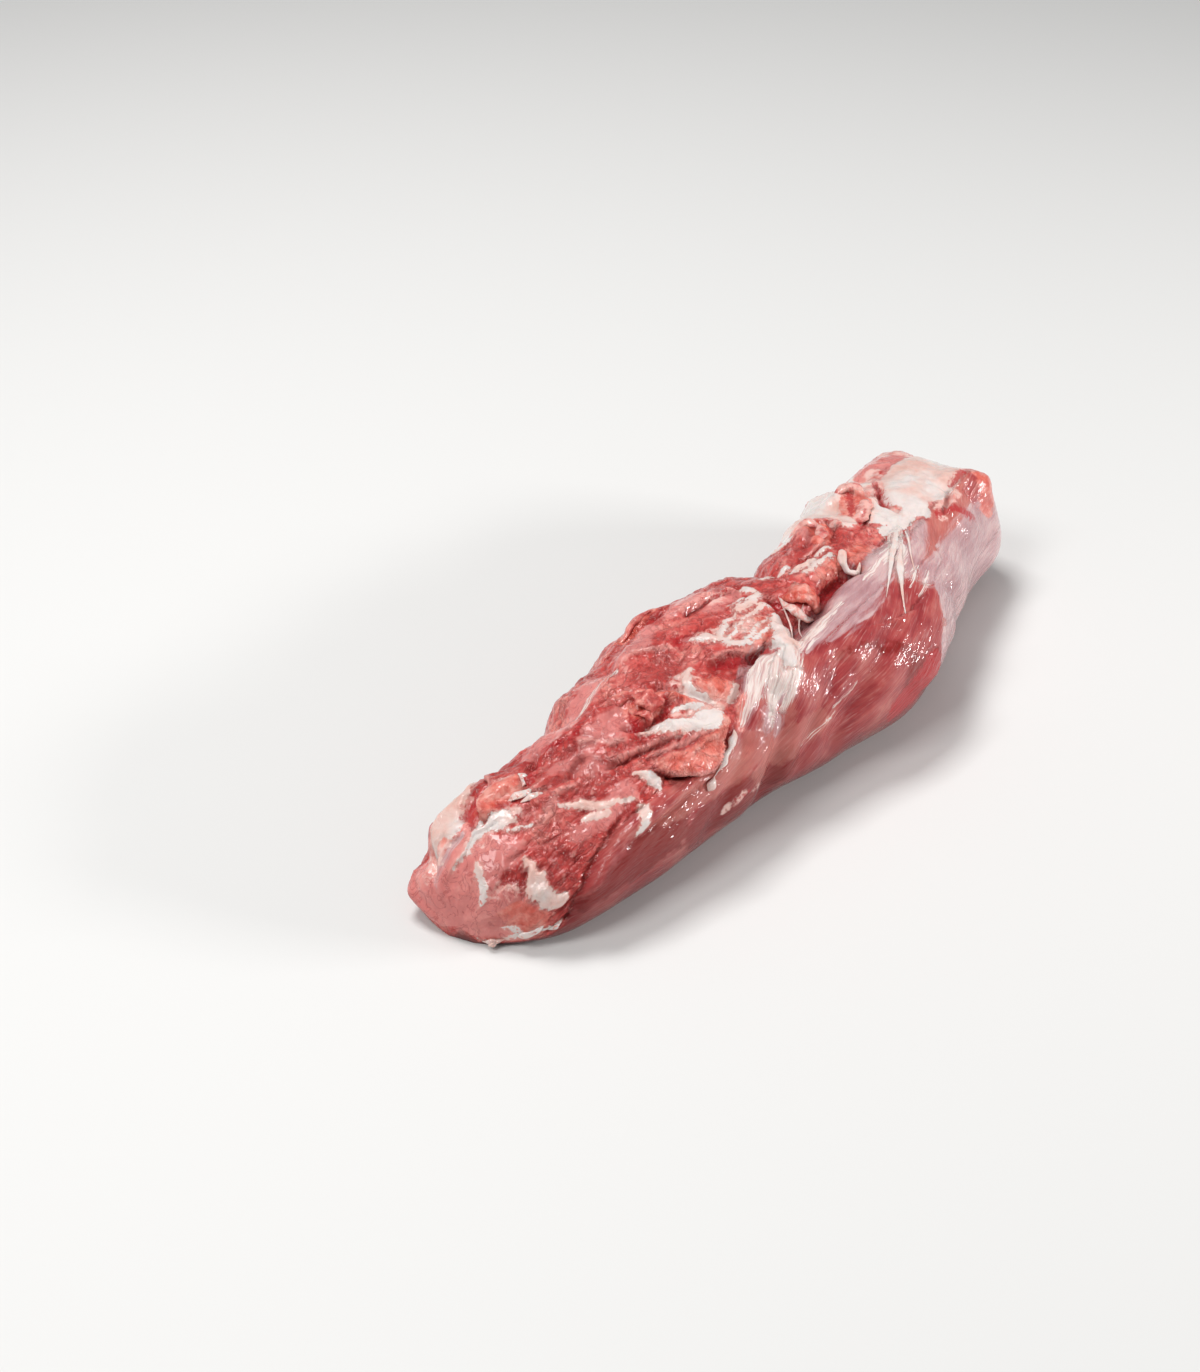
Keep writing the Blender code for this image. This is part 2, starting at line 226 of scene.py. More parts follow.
# A ledge is a torn layer that ends in a step: (rise, reach, overhang, path), with the layer on the left of
# the path, thinning out over its reach and hanging over the step.
LEDGES = (
    (3.6, 16.0, 2.6, ((84, 30), (80, 41), (75, 48), (72, 54), (69, 58), (65, 55), (61, 50), (58, 44),
     (56, 38), (54, 30))),
    (0.6, 7.0, 0.6, ((80, 41), (73, 44), (68, 44), (62, 38), (57, 32))),
    (0.5, 7.0, 0.5, ((78, 41), (68, 38), (62, 32), (56, 26))),
    (1.8, 11.0, 0.8, ((84, 42), (92, 36), (97, 30), (105, 25), (112, 22), (118, 17))),
    (2.6, 26.0, 0.0, ((172, 32), (178, 46), (172, 62), (166, 76), (163, 90), (161, 104))),
    (1.6, 8.0, 0.8, ((30, -2), (32, -14), (37, -26))),
    (1.6, 9.0, 0.8, ((23, -11), (18, -18), (22, -27), (28, -33), (34, -52))),
    (0.7, 8.0, 0.4, ((22, -6), (14, -15), (9, -12), (7, -17), (4, -22))),
    (1.8, 14.0, 0.5, ((215, 34), (226, 30), (236, 26))),
    (1.5, 8.0, 1.2, ((77, 6), (72, -6), (68, -8), (62, -15))),
    (0.6, 8.0, 0.3, ((84, 30), (81, 14), (76, 2))),
    (1.0, 7.0, 0.7, ((69, 33), (58, 21), (47, 11))),
    (1.0, 9.0, 0.4, ((28, 49), (38, 47), (50, 46))),
    (0.6, 6.0, 0.4, ((57, 14), (53, 4), (51, -4), (48, -8))),
    (1.6, 8.0, 1.2, ((131, -16), (124, -23), (115, -21), (108, -20))),
    (1.2, 6.0, 0.8, ((112, 24), (106, 19), (101, 14), (95, 12))),
    (1.3, 6.0, 0.9, ((166, 2), (160, 1), (153, 1), (146, 2))),
    (1.0, 5.0, 0.8, ((162, -8), (154, -8), (147, -9), (141, -10))),
    (1.0, 5.0, 0.8, ((172, -12), (166, -14), (158, -15))),
    (1.4, 7.0, 1.0, ((184, -10), (179, -16), (179, -26), (182, -34))),
    (1.2, 5.0, 0.8, ((216, -4), (208, -9), (204, -12), (205, -22))),
    (0.9, 6.0, 0.6, ((96, -2), (92, -10), (88, -18), (80, -22))),
    (0.8, 5.0, 0.5, ((40, 8), (34, 6), (28, 8), (22, 12))),
)
LEDGE_EDGE = 1.1
# Fat that was left on, standing a little proud with a ragged edge: (rise, path with widths).
FAT = (
    (0.9, ((13.5, 17, 1), (12.5, 24, 2), (11, 30, 2.5), (9.5, 38, 3.5), (9, 47, 4), (9, 56, 4.5),
     (9.5, 63, 5.5), (9.5, 69, 4))),
    (0.4, ((9, -3, 1), (6.5, 1, 1.8), (5, 7, 2.2), (3.6, 13, 1.6), (2, 20, 0.8))),
    (0.4, ((18, -18, 1.5), (14, -15, 2.4), (10, -12, 1.8), (8, -16, 1), (6, -18, 0.8))),
    (0.6, ((14, -14, 2.4), (18, -12, 3), (19, -8, 3.6), (21, -5, 3), (22, -9, 3.5), (20, -13, 2.6))),
    (1.8, ((11, -43, 5), (13, -43, 8), (17, -40, 9), (15, -32, 6), (13, -29, 3))),
    (1.6, ((18, -47, 8), (26, -52, 6), (32, -60, 4))),
    (0.4, ((18, -2, 0.8), (20, 1, 1), (22, 4, 0.8))),
    (0.4, ((31, 8, 0.8), (33, 13, 2.2), (34, 17, 3.2), (35, 22, 3.6), (37, 27, 3), (40, 32, 2.4),
     (44, 38, 1.2))),
    (0.4, ((31, 26, 2), (33, 30, 3), (36, 33, 3))),
    (1.0, ((44, 47, 3), (43, 51, 3.5), (41, 56, 3), (38, 60, 1.5))),
    (1.0, ((50, 28, 1.5), (51, 31, 3), (52, 35, 4), (52.5, 40, 3.5), (52, 46, 1.5))),
    (0.9, ((61, 13, 1.2), (64, 15.5, 3), (67, 20, 4.4), (69, 25, 4.6), (72, 30, 5.4), (76, 32.5, 6),
     (79.5, 34, 3))),
    (0.4, ((73, 16, 1), (77, 20, 1.6), (79, 26, 2))),
    (0.3, ((90, 7, 1.1), (87, 8, 1.8), (84.5, 11, 2.2), (82.5, 15, 2.4), (82, 19, 2.2), (83.5, 24, 2.2),
     (84.5, 29, 1.6))),
    (0.4, ((93, 30, 2.2), (91, 33, 2.6), (88, 35, 1.6))),
    (1.1, ((101, -4, 2.5), (103.5, -2, 3.5), (105, 1, 4), (106, 4, 3), (105.5, 8, 2.5), (107, 12, 2.5),
     (109, 14, 2.5))),
    (0.5, ((106, 3, 1.4), (109, 1, 1.5), (112, 0.5, 1.1), (116, -1, 0.8), (120, -2, 0.4))),
    (0.5, ((107, 6, 0.9), (111, 5, 1.1), (115, 3, 0.8), (119, 2, 0.6), (123, 0, 0.3))),
    (0.5, ((108, 13, 1.0), (112, 13, 1.2), (115, 10, 0.9), (119, 8, 0.6), (123, 7, 0.3))),
    (0.6, ((111, 16, 1.2), (114, 15, 1.6), (118, 13, 1), (121, 11, 0.8))),
    (1.9, ((126, 8, 3), (124.5, 12, 5), (123, 17, 6), (120, 22, 6), (117, 26, 6), (113.5, 30, 5),
     (111, 37, 4.5))),
    (0.7, ((132, -18, 2), (132, -13, 3), (132, -9, 2))),
    (0.5, ((120, -3, 1.5), (126, -4, 2.5), (131, -6, 2))),
    (0.4, ((121, -8, 1), (127, -9, 1.5))),
    (0.4, ((117, 3, 0.7), (123, 1, 1.2), (129, 0, 1.2))),
    (0.5, ((146, -9, 1.2), (151, -9, 2), (157, -8, 1.5))),
    (0.5, ((148, -5, 1), (155, -6, 1.5), (162, -5, 1.5))),
    (0.4, ((160, -12, 1.2), (166, -10, 2))),
    (0.4, ((140, -18, 1.5), (147, -19, 2), (153, -21, 2))),
    (0.9, ((166, -46, 4), (172, -42, 5), (180, -44, 6), (190, -42, 8), (196, -34, 6), (198, -28, 3))),
    (0.9, ((184, -12, 3), (188, -10, 4), (190, -17, 5), (189, -24, 4))),
    (1.2, ((206, -22, 4), (211, -24, 5), (217, -20, 5))),
    (1.3, ((206, -6, 4), (205, -3, 4.5), (200, 0, 5), (195, -1, 4), (197, 5, 5), (203, 6, 5))),
    (0.6, ((211, 18, 7), (215, 8, 14), (226, 6, 22), (236, 5, 22), (241, 3, 18))),
    (0.5, ((220, -6, 5), (230, -10, 6), (240, -9, 8), (248, -6, 6))),
    (0.7, ((189, 5, 2.5), (196, 10.5, 4), (204, 11, 5), (210, 13, 5))),
    (0.6, ((213, -28, 2.5), (220, -36, 2), (227, -48, 3))),
    (0.3, ((114, 83, 0.4), (115.6, 82, 0.8), (117, 81, 0.4))),
    (0.4, ((174, -46, 5), (180, -46, 12), (187, -44, 19), (194, -43, 22), (202, -43, 18), (208, -45, 8))),
    (0.5, ((0.6, 116, 0.8), (1.6, 108, 1.8), (2.4, 101, 1.2), (3.6, 96, 2.0), (5.5, 91, 1.2))),
    (0.4, ((5, 100, 0.8), (7, 97, 1.6), (9, 94, 1.0))),
    (0.4, ((3, 92, 0.7), (2.6, 85, 1.3), (2.0, 78, 0.8))),
)
# Fascia, the skin of the muscle: wide, thin and half clear, so it adds colour and almost no height.
FASCIA = (
    ((85, 50, 1.5), (90, 44, 5), (97, 36, 8), (104, 28, 9), (110, 26, 8)),
    ((98, 54, 6), (104, 46, 9), (110, 38, 8), (115, 33, 6)),
    ((92, 62, 3), (95, 57, 6), (98, 62, 5), (96, 70, 3)),
    ((117, 33, 4), (124, 28, 8), (134, 23, 10), (148, 18, 11), (160, 15, 12), (172, 14, 11), (184, 16, 9)),
    ((128, 36, 2), (140, 31, 4), (152, 27, 5), (162, 24, 3)),
    ((174, 26, 6), (184, 28, 8), (194, 26, 8), (204, 22, 6)),
    ((176, 42, 5), (184, 42, 8), (194, 44, 8)),
    ((175, 62, 7), (184, 64, 22), (200, 68, 30), (218, 70, 28), (234, 70, 26), (250, 66, 22)),
    ((172, 84, 12), (182, 92, 18), (200, 98, 24), (222, 98, 26), (246, 94, 26)),
    ((4, -38, 2), (9, -27, 3), (13, -24, 2)),
)
# Sinew: white and silky, in strands that run out over the flesh like a fan.
SINEW = (
    (0.5, ((109, 26, 5), (102, 33, 5.5), (95, 41, 4.5), (89, 46, 2.6), (85, 50, 1))),
    (0.5, ((112, 29, 5), (106, 38, 6.5), (100, 48, 6), (96, 57, 4), (94, 64, 1.5))),
    (0.5, ((115, 33, 4.5), (110, 42, 5), (105, 51, 4), (101, 59, 1.5))),
    (0.2, ((115, 33, 3), (121, 30, 4), (128, 26, 3.4), (135, 22, 2.4), (143, 18, 1.2))),
    (0.2, ((160, 14, 1.2), (170, 14, 2), (179, 15, 3), (188, 13, 4.5), (196, 11, 4))),
    (0.2, ((185, 20, 3), (179, 22, 3.6), (174, 25, 3), (169, 30, 1.6))),
    (0.1, ((104, 90, 0.1), (109, 86, 0.3), (114, 83, 0.4), (118, 80, 0.1))),
    (0.1, ((118, 76, 0.1), (123, 72, 0.4), (129, 68, 0.1))),
    (0.1, ((170, 36, 0.9), (176, 34, 1.5), (182, 33, 0.9))),
    (0.1, ((169, 44, 0.9), (175, 42, 1.5), (183, 41, 0.9))),
    (0.1, ((58, -23, 1), (68, -25, 1.4), (80, -24, 1.2))),
)
# Glands and soft red flesh in the fat, orange beside the muscle's pink.
GLANDS = (
    ((19, -22, 5), (25, -21, 8), (31, -21, 7), (34, -22, 3)),
    ((12, -34, 3), (13, -33, 3)),
    ((86, 18, 4), (88, 22, 7), (90, 27, 6)),
    ((112, 16, 3), (118, 16, 4), (121, 10, 4), (121, 4, 3)),
    ((150, 1, 3), (158, -2, 3), (166, -1, 3)),
    ((168, 4, 4), (172, 3, 5), (176, 2, 4)),
    ((176, -40, 5), (178, -28, 6), (174, -18, 6), (168, -17, 5)),
    ((189, -13, 5), (195, -13, 9), (201, -16, 11), (204, -24, 9)),
    ((250, 12, 7), (251, 28, 13), (249, 42, 12), (243, 56, 8)),
    ((66, 1, 4), (70, 6, 7), (72, 12, 5)),
    ((58, 33, 3), (62, 40, 6), (67, 46, 7), (74, 44, 6), (80, 37, 3)),
    ((74, -2, 2), (78, 10, 3), (80, 24, 3)),
    ((92, 40, 4), (88, 44, 3), (84, 50, 3)),
    ((4, 44, 4), (5, 80, 5), (5, 100, 4)),
    ((98, -46, 5), (106, -44, 6), (113, -44, 5)),
)
# Blood that has run into hollows, and bare red muscle.
BLOOD = (
    ((16, -19, 1.5), (18, -24, 3.5), (21, -31, 5), (24, -36, 4)),
    ((44, -27, 2), (47, -24, 3.5), (49, -20, 3)),
    ((51, -15, 2), (53, -15, 2.5), (56, -16, 1.5)),
    ((65, 2, 2), (64, 6, 3), (62, 10, 3.4), (60.5, 12, 2)),
    ((69, 13, 2), (72, 14, 2.5), (75, 10, 2)),
    ((97, 14, 3), (100, 18, 4.5), (104, 20, 3)),
    ((100, -35, 2), (105, -34, 3.5), (110, -34, 2)),
    ((97, -8, 3), (100, -6, 4), (104, -4, 2)),
    ((131, 0, 3), (133, 3, 2.5)),
    ((146, 6, 2.5), (151, 3, 3.5), (156, 3, 3.5), (161, 5, 2.5)),
    ((107, 22, 3), (111, 25, 4)),
    ((193, -14, 2), (198, -15, 3), (203, -20, 3)),
    ((206, -2, 2), (209, -3, 3.5), (214, -9, 3.4), (219, -16, 2)),
    ((190, -5, 2), (194, -5, 2)),
    ((214, 28, 3), (220, 34, 4), (226, 46, 4), (229, 54, 2)),
    ((236, 24, 3), (241, 22, 4)),
    ((120, -22, 2), (128, -22, 2)),
    ((143, 100, 8), (152, 92, 12), (158, 84, 10)),
    ((34, -16, 4), (40, -22, 3)),
    ((75, 92, 0.8), (79, 90.5, 1.4), (82, 91, 0.8)),
)
# Bare muscle, darker and browner than the rest. The strokes on the whole side, past the trim line, are
# painted shade.
DARK_MUSCLE_AND_SHADE = (
    ((13, 38, 5), (19, 34, 10), (25, 20, 13), (24, 8, 8)),
    ((14, 50, 5), (21, 44, 8), (28, 38, 7)),
    ((37, 12, 7), (43, 10, 11), (49, 9, 8)),
    ((33, -9, 6), (40, -9, 8), (46, -8, 7)),
    ((78, -6, 5), (84, -1, 8), (90, -4, 6)),
    ((16, 84, 8), (26, 80, 14), (38, 79, 18), (50, 80, 14)),
    ((150, 84, 12), (158, 90, 16), (164, 100, 12)),
    ((126, 44, 1), (136, 48, 3), (146, 58, 3), (152, 74, 2)),
    ((2, 50, 5), (3, 66, 8), (4, 84, 6)),
    ((60, 92, 14), (76, 96, 16), (96, 96, 14)),
)
# A thin film smooths the torn face here.
FILM = (
    ((3, -34, 10), (4, -5, 11), (4, 12, 8)),
    ((42, 62, 3), (54, 66, 8), (68, 69, 12), (82, 67, 13), (94, 67, 10), (102, 60, 5)),
    ((84, -26, 4), (92, -22, 7), (100, -25, 6)),
    ((108, -27, 5), (116, -28, 7), (126, -26, 6)),
    ((186, -14, 8), (196, -17, 14), (206, -20, 14), (212, -16, 8)),
    ((176, -66, 12), (184, -52, 20), (192, -42, 22), (200, -38, 16)),
    ((216, 6, 14), (226, 4, 24), (238, 4, 28), (250, 4, 20)),
    ((1, -90, 14), (4, -60, 18), (7, -30, 18), (10, -8, 16), (12, 6, 10)),
    ((2, 10, 8), (3, 40, 8), (3, 80, 8), (3, 110, 6)),
    ((26, 30, 6), (34, 34, 9), (44, 30, 8)),
    ((44, -34, 8), (56, -30, 10), (72, -32, 10)),
    ((228, -40, 18), (240, -30, 18)),
    ((180, -34, 10), (190, -44, 12)),
    ((190, 36, 8), (204, 36, 12), (218, 36, 14), (232, 33, 10)),
    ((20, -24, 6), (28, -22, 8), (34, -20, 5)),
    ((52, -6, 6), (58, -2, 9), (64, -3, 6)),
    ((170, -20, 6), (176, -30, 8), (174, -38, 6)),
    ((118, -16, 6), (128, -18, 7)),
    ((86, 84, 8), (98, 80, 13), (112, 80, 8)),
    ((40, -8, 5), (47, 0, 6), (46, 10, 5)),
)
# Soft pink fat, half way between the muscle and the white fat.
PINK_FAT = (
    ((178, -64, 12), (184, -52, 18), (192, -44, 24), (200, -38, 20), (208, -34, 16), (216, -28, 12)),
    ((216, 30, 5), (224, 29, 6), (231, 30, 5)),
    ((24, -24, 5), (29, -24, 7), (33, -22, 4)),
    ((184, -16, 6), (190, -20, 9), (196, -20, 9)),
    ((190, -12, 5), (196, -6, 9), (203, -4, 10), (212, -10, 10), (218, -18, 10), (224, -26, 10)),
    ((8, -50, 8), (12, -38, 11), (18, -44, 10), (26, -52, 8)),
    ((22, -8, 5), (14, -12, 5)),
    ((214, 6, 10), (222, 12, 12), (236, 10, 12)),
    ((103, 0, 3), (108, 4, 5), (114, 6, 5), (121, 4, 4)),
    ((62, 14, 3), (70, 24, 8), (78, 32, 8)),
    ((84, 10, 5), (83, 20, 6), (86, 30, 6)),
    ((247, -36, 10), (252, -20, 10), (254, -6, 6)),
    ((5, 18, 2), (6, 28, 3), (5, 38, 2)),
    ((120, -18, 3), (127, -20, 4)),
    ((71, 95, 0.4), (78, 90, 1.6), (86, 93, 0.4)),
)
TRIM_LINE = ((0, 128), (8, 112), (11, 92), (14, 72), (18, 64), (22, 57), (26, 53), (32, 49), (44, 48))
TRIM_LINE += ((52, 48), (60, 52), (69, 59), (76, 52), (84, 46), (92, 38), (104, 27), (118, 19), (124, 22))
TRIM_LINE += ((138, 14), (150, 5), (165, 6), (182, 12), (205, 22), (262, 26))
BACK_LINE = ((0, -170), (6, -140), (14, -100), (24, -74), (262, -68))
# Each tissue's strokes, the width of its soft edge in millimetres, and how ragged its outline is.
RAGGED, CALM = 1.0, 0.45
STROKES = {
    "fat": (FAT, 2.2, RAGGED), "fascia": (FASCIA, 4.0, CALM), "sinew": (SINEW, 2.6, CALM),
    "deep": (DARK_MUSCLE_AND_SHADE, 5.0, RAGGED), "gland": (GLANDS, 3.0, RAGGED), "blood": (BLOOD, 3.2, RAGGED),
    "pink_fat": (PINK_FAT, 4.0, RAGGED),
}
FACE_EDGE, BACK_EDGE, FILM_EDGE, FAT_STEP, FAT_RISE = 2.4, 8.0, 5.0, 1.2, 0.4
# An outline is made ragged by waves: (length, reach), in millimetres.
RAGGED_WAVES, AXIS_SEED = ((7.0, 0.9), (2.6, 0.55), (1.1, 0.3)), 11.3
# The torn face's relief: swells, crags on them, bundles of muscle with gaps between them, terraces where
# layers have come off, and fine grain. Sizes of patches are in millimetres, along the loin and round it.
SWELL_SIZE, SWELL_HEIGHT = 17.0, 1.3
CRAG_SIZE, CRAG_HEIGHT, CRAG_MEAN = 6.0, 0.42, 1.2
# GAP_SHADE is how dark the painted shade in the gaps between bundles is; GAP_DEPTH is how deep they really
# are.
BUNDLE_SIZE, GAP_SHARE, GAP_DEPTH, GAP_SHADE, GAP_PATCH = (9.0, 5.0), 0.16, 0.35, 0.35, 21.0
TERRACE_SIZE, TERRACE_STEP, TERRACE_DEPTHS = (15.0, 7.0), 0.2, (0.5, 0.32)
# Terraces are (steps, fineness, seed), and fine waves (height, size, seed).
TERRACES = ((2.6, 1.0, 3.7), (2.2, 2.1, 8.1))
FINE_WAVES = ((0.26, 3.4, 4.0), (0.09, 1.5, 9.0))
# Creases narrower than this get painted shade inside, by how deep they are. A ledge fades out over this share
# of its path at both ends, and its lip, its frayed edge with a painted highlight, and its painted shadow,
# which also deepens the groove under the step, are this far from its step and this wide.
NARROW_CREASE, SHADED_CREASE_DEPTH = 5.5, 2.6
LEDGE_FADE, LIP_REACH, LIT_FRAY_PLACE, LIT_FRAY_WIDTH, SHADOW_REACH, SHADOW_RISE = 0.18, 4.0, 1.2, 0.8, 1.3, 2.4
# The torn face is calmer past this girth, on the far side, and gets so over this width.
FAR_SIDE, FAR_SIDE_EDGE = -8.0, 8.0
# Long, low waves on the whole muscle, which wind round it: (height, fineness, seed).
FLANK_SIZE, FLANK_WIND = (34.0, 3.4), 0.42
FLANK_WAVES = ((0.22, 0.5, 0.0), (0.08, 2.7, 5.0))


def torn(along, girth, spread, amount):
    """The same places, shifted by noise, so that whatever is measured from them gets a ragged edge."""
    flat = np.stack((along, spread, 0 * along), axis=-1)
    shifted = [along.copy(), girth.copy()]
    for size, reach in RAGGED_WAVES:
        for axis in (0, 1):
            shifted[axis] += amount * reach * perlin(flat, size, AXIS_SEED * axis + size)
    return shifted


def bundles(points):
    """How deep each point lies in the gaps between muscle bundles: 1 in a gap, 0 on a bundle."""
    depths = []
    for p in points:
        near = noise.voronoi(Vector(p))[0]
        depths.append(near[1] - near[0])
    return 1.0 - smooth(np.array(depths) / GAP_SHARE)


def layers(value):
    """Turns a smooth field into terraces with steep steps, and says how far each place stands above it: most
    on the steps' lips and least at their feet."""
    level, part = np.floor(value), value - np.floor(value)
    terrace = level + smooth((part - (1 - TERRACE_STEP)) / TERRACE_STEP)
    return terrace, terrace - value


# A place that no stroke covers is this far outside them. On the strand map each stroke has its own stretch,
# and the sinews lie past the fascia.
FAR_OUTSIDE, STRAND_GAP, SINEW_START = 99.0, 40.0, 500.0


def cover(paths, along, girth):
    """How far inside the nearest of several strokes each place is, in millimetres, the rise of that stroke,
    and how many millimetres the place is along it and across it."""
    inside, rises = np.full(along.shape, -FAR_OUTSIDE), np.zeros(along.shape)
    strand = np.zeros(along.shape + (2,))
    for number, entry in enumerate(paths):
        rise, path = entry if np.isscalar(entry[0]) else (0.0, entry)
        distance, part, width, _, length = nearest_on(path, along, girth)
        depth = width / 2 - np.abs(distance)
        rises = np.maximum(rises, rise * smooth((depth + 0.4) / np.clip(width / 3, 0.6, 2.0)))
        here = np.stack((part * length + STRAND_GAP * number, distance), axis=-1)
        strand = np.where((depth > inside)[..., None], here, strand)
        inside = np.maximum(inside, depth)
    return inside, rises, strand


def loin_skin(share, around):
    """The finished skin in millimetres, and what each point of it is made of."""
    plain = plain_loin(share, around)
    outward, along_way, around_way = skin_axes(share, around)
    along, girth = share * LENGTH, around * GIRTH_RADIUS
    spread = girth * end_closing(share)
    places = {amount: torn(along, girth, spread, amount) for amount in (RAGGED, CALM)}
    ragged_along, ragged_girth = places[RAGGED]

    trim = np.interp(along, *np.array(TRIM_LINE).T) * math.radians(1.0) * GIRTH_RADIUS
    back = np.interp(along, *np.array(BACK_LINE).T) * math.radians(1.0) * GIRTH_RADIUS
    face = smooth(0.5 + (trim - ragged_girth) / FACE_EDGE) * smooth(0.5 + (girth - back) / BACK_EDGE)

    relief = SWELL_HEIGHT * perlin(plain, SWELL_SIZE)
    crag = [noise.ridged_multi_fractal(Vector(p) / CRAG_SIZE, 1.0, 2.0, 2, 1.0, 2.0) for p in plain]
    relief += CRAG_HEIGHT * face * (np.array(crag) - CRAG_MEAN)
    fine = sum(height * perlin(plain, size, seed) for height, size, seed in FINE_WAVES)
    flat = np.stack((ragged_along / BUNDLE_SIZE[0], spread / BUNDLE_SIZE[1], 0 * along), axis=-1)
    gaps = bundles(flat) * smooth(0.55 + 1.6 * perlin(plain, GAP_PATCH, seed=2.0))
    film = smooth(0.5 + cover(FILM, ragged_along, ragged_girth)[0] / FILM_EDGE)
    stretch = np.stack((ragged_along / TERRACE_SIZE[0], spread / TERRACE_SIZE[1], 0 * along), axis=-1)
    broad, narrow = (
        layers(steps * perlin(stretch * fineness, 1.0, seed)) for steps, fineness, seed in TERRACES
    )
    ridge = (broad[1] + 0.4 + 0.6 * (narrow[1] + 0.4) + 1.2 * fine) * face * (1 - 0.7 * film)
    shift = np.zeros(plain.shape)
    # Painted shade in the gaps between bundles and at the feet of the terraces.
    hollow = np.maximum(GAP_SHADE * gaps, 0.6 * smooth(-1.3 * ridge - 0.1)) * face
    # A painted highlight on the terraces' lips, with the frayed fibres there.
    frayed = smooth(1.5 * ridge - 0.2)

    for height, path in CREASES:
        distance, _, width, _, _ = nearest_on(path, *places[CALM])
        stroke = np.exp(-((distance / (0.5 * width)) ** 2))
        relief += height * stroke
        # Narrow creases get painted shade inside.
        if width.max() < NARROW_CREASE:
            hollow = np.maximum(hollow, stroke * min(-height / SHADED_CREASE_DEPTH, 0.9))
    for height, path in LUMPS:
        distance, _, width, _, _ = nearest_on(path, *places[CALM])
        relief += height * np.exp(-((distance / (0.55 * width)) ** 2))
    for rise, reach, overhang, path in LEDGES:
        distance, part, _, away, _ = nearest_on(path, ragged_along, ragged_girth)
        inside = np.maximum(distance, 0.0)
        fade = smooth(np.minimum(part, 1.0 - part) / LEDGE_FADE)
        relief += rise * fade * smooth(inside / LEDGE_EDGE) * np.exp(-((inside / reach) ** 2))
        lip = overhang * fade * smooth(inside / LEDGE_EDGE) * np.exp(-((inside / LIP_REACH) ** 2))
        shift -= lip[..., None] * (away[..., :1] * along_way + away[..., 1:] * around_way)
        # A pale band on the ledge's lip: frayed fibres and a painted highlight.
        lit_frays = 1.2 * fade * np.exp(-(((distance - LIT_FRAY_PLACE) / LIT_FRAY_WIDTH) ** 2)) * (overhang > 0)
        frayed = np.maximum(frayed, lit_frays)
        # A painted shadow under the step, which also deepens the groove there.
        under = np.maximum(-distance, 0.0) / SHADOW_REACH
        shadow = fade * np.exp(-(under**2)) * (distance < 0.3) * min(rise / SHADOW_RISE, 1.0)
        if overhang > 0:
            relief -= 0.5 * rise * shadow
            hollow = np.maximum(hollow, shadow)

    inside, rises, strands = {}, {}, {}
    for name, (paths, _, amount) in STROKES.items():
        inside[name], rises[name], strands[name] = cover(paths, *places[amount])
    fat_here = smooth(0.5 + inside["fat"] / FAT_STEP)
    relief += FAT_RISE * (rises["fat"] + rises["sinew"]) * (1.0 + 0.6 * perlin(plain, 3.0, seed=7.0))
    crags = fine - GAP_DEPTH * gaps + TERRACE_DEPTHS[0] * broad[0] + TERRACE_DEPTHS[1] * narrow[0]
    far_side = smooth((FAR_SIDE - girth) / FAR_SIDE_EDGE)
    calm = (1 - 0.8 * fat_here) * (1 - 0.75 * film) * (1 - 0.4 * far_side)
    relief += face * calm * crags

    wound = spread + FLANK_WIND * along
    flank = np.stack((along / FLANK_SIZE[0], wound / FLANK_SIZE[1], 0 * along), axis=-1)
    waves = sum(height * perlin(flank * fineness, 1.0, seed) for height, fineness, seed in FLANK_WAVES)
    relief += (1 - face) * waves

    low, high = RESTING_MARGIN
    hold = smooth((plain[..., 2] - low) / (high - low))
    finished = plain + outward * (relief * hold)[..., None] + shift * hold[..., None]
    finished[..., 2] = np.maximum(finished[..., 2], 0.0)
    finished[..., :2] -= RELIEF_CENTRE
    tissues = {name: np.clip(0.5 + inside[name] / edge, 0, 1) for name, (_, edge, _) in STROKES.items()}
    tissues.update(cut_face=face, film=film)
    tissues.update(hollow=np.clip(hollow, 0, 1) * hold, frayed=np.clip(frayed, 0, 1) * hold)
    on_sinew = (inside["sinew"] > inside["fascia"])[..., None]
    return finished, tissues, np.where(on_sinew, strands["sinew"] + SINEW_START, strands["fascia"])


# The skin is a globe whose poles go to the tail and the head. Its meridians crowd together on the side that
# carries the torn flesh, round FINE_SIDE, and its rings crowd a little at the ends.
AROUND_SEGMENTS, ALONG_SEGMENTS = 240, 400
FINE_SIDE, FINE_CROWDING = math.radians(20.0), 0.5
END_CROWDING = 0.25

body = bmesh.new()
bmesh.ops.create_uvsphere(body, u_segments=AROUND_SEGMENTS, v_segments=ALONG_SEGMENTS, radius=1.0)
globe = np.array([vert.co for vert in body.verts])
latitude = np.arccos(np.clip(-globe[:, 2], -1.0, 1.0)) / math.pi
share = END_CROWDING * (1.0 - np.cos(latitude * math.pi)) / 2.0 + (1.0 - END_CROWDING) * latitude
turn = np.arctan2(globe[:, 1], globe[:, 0])
around = turn - FINE_CROWDING * np.sin(turn) + FINE_SIDE
around = (around + math.pi) % (2 * math.pi) - math.pi
skin_points, tissues, strand = loin_skin(share, around)
for vert, point in zip(body.verts, skin_points):
    vert.co = point * MM
body.normal_update()
bmesh.ops.recalc_face_normals(body, faces=body.faces)
mesh = bpy.data.meshes.new("loin")
body.to_mesh(mesh)
body.free()
mesh.shade_smooth()
for name, values in tissues.items():
    mesh.attributes.new(name, "FLOAT", "POINT").data.foreach_set("value", values)

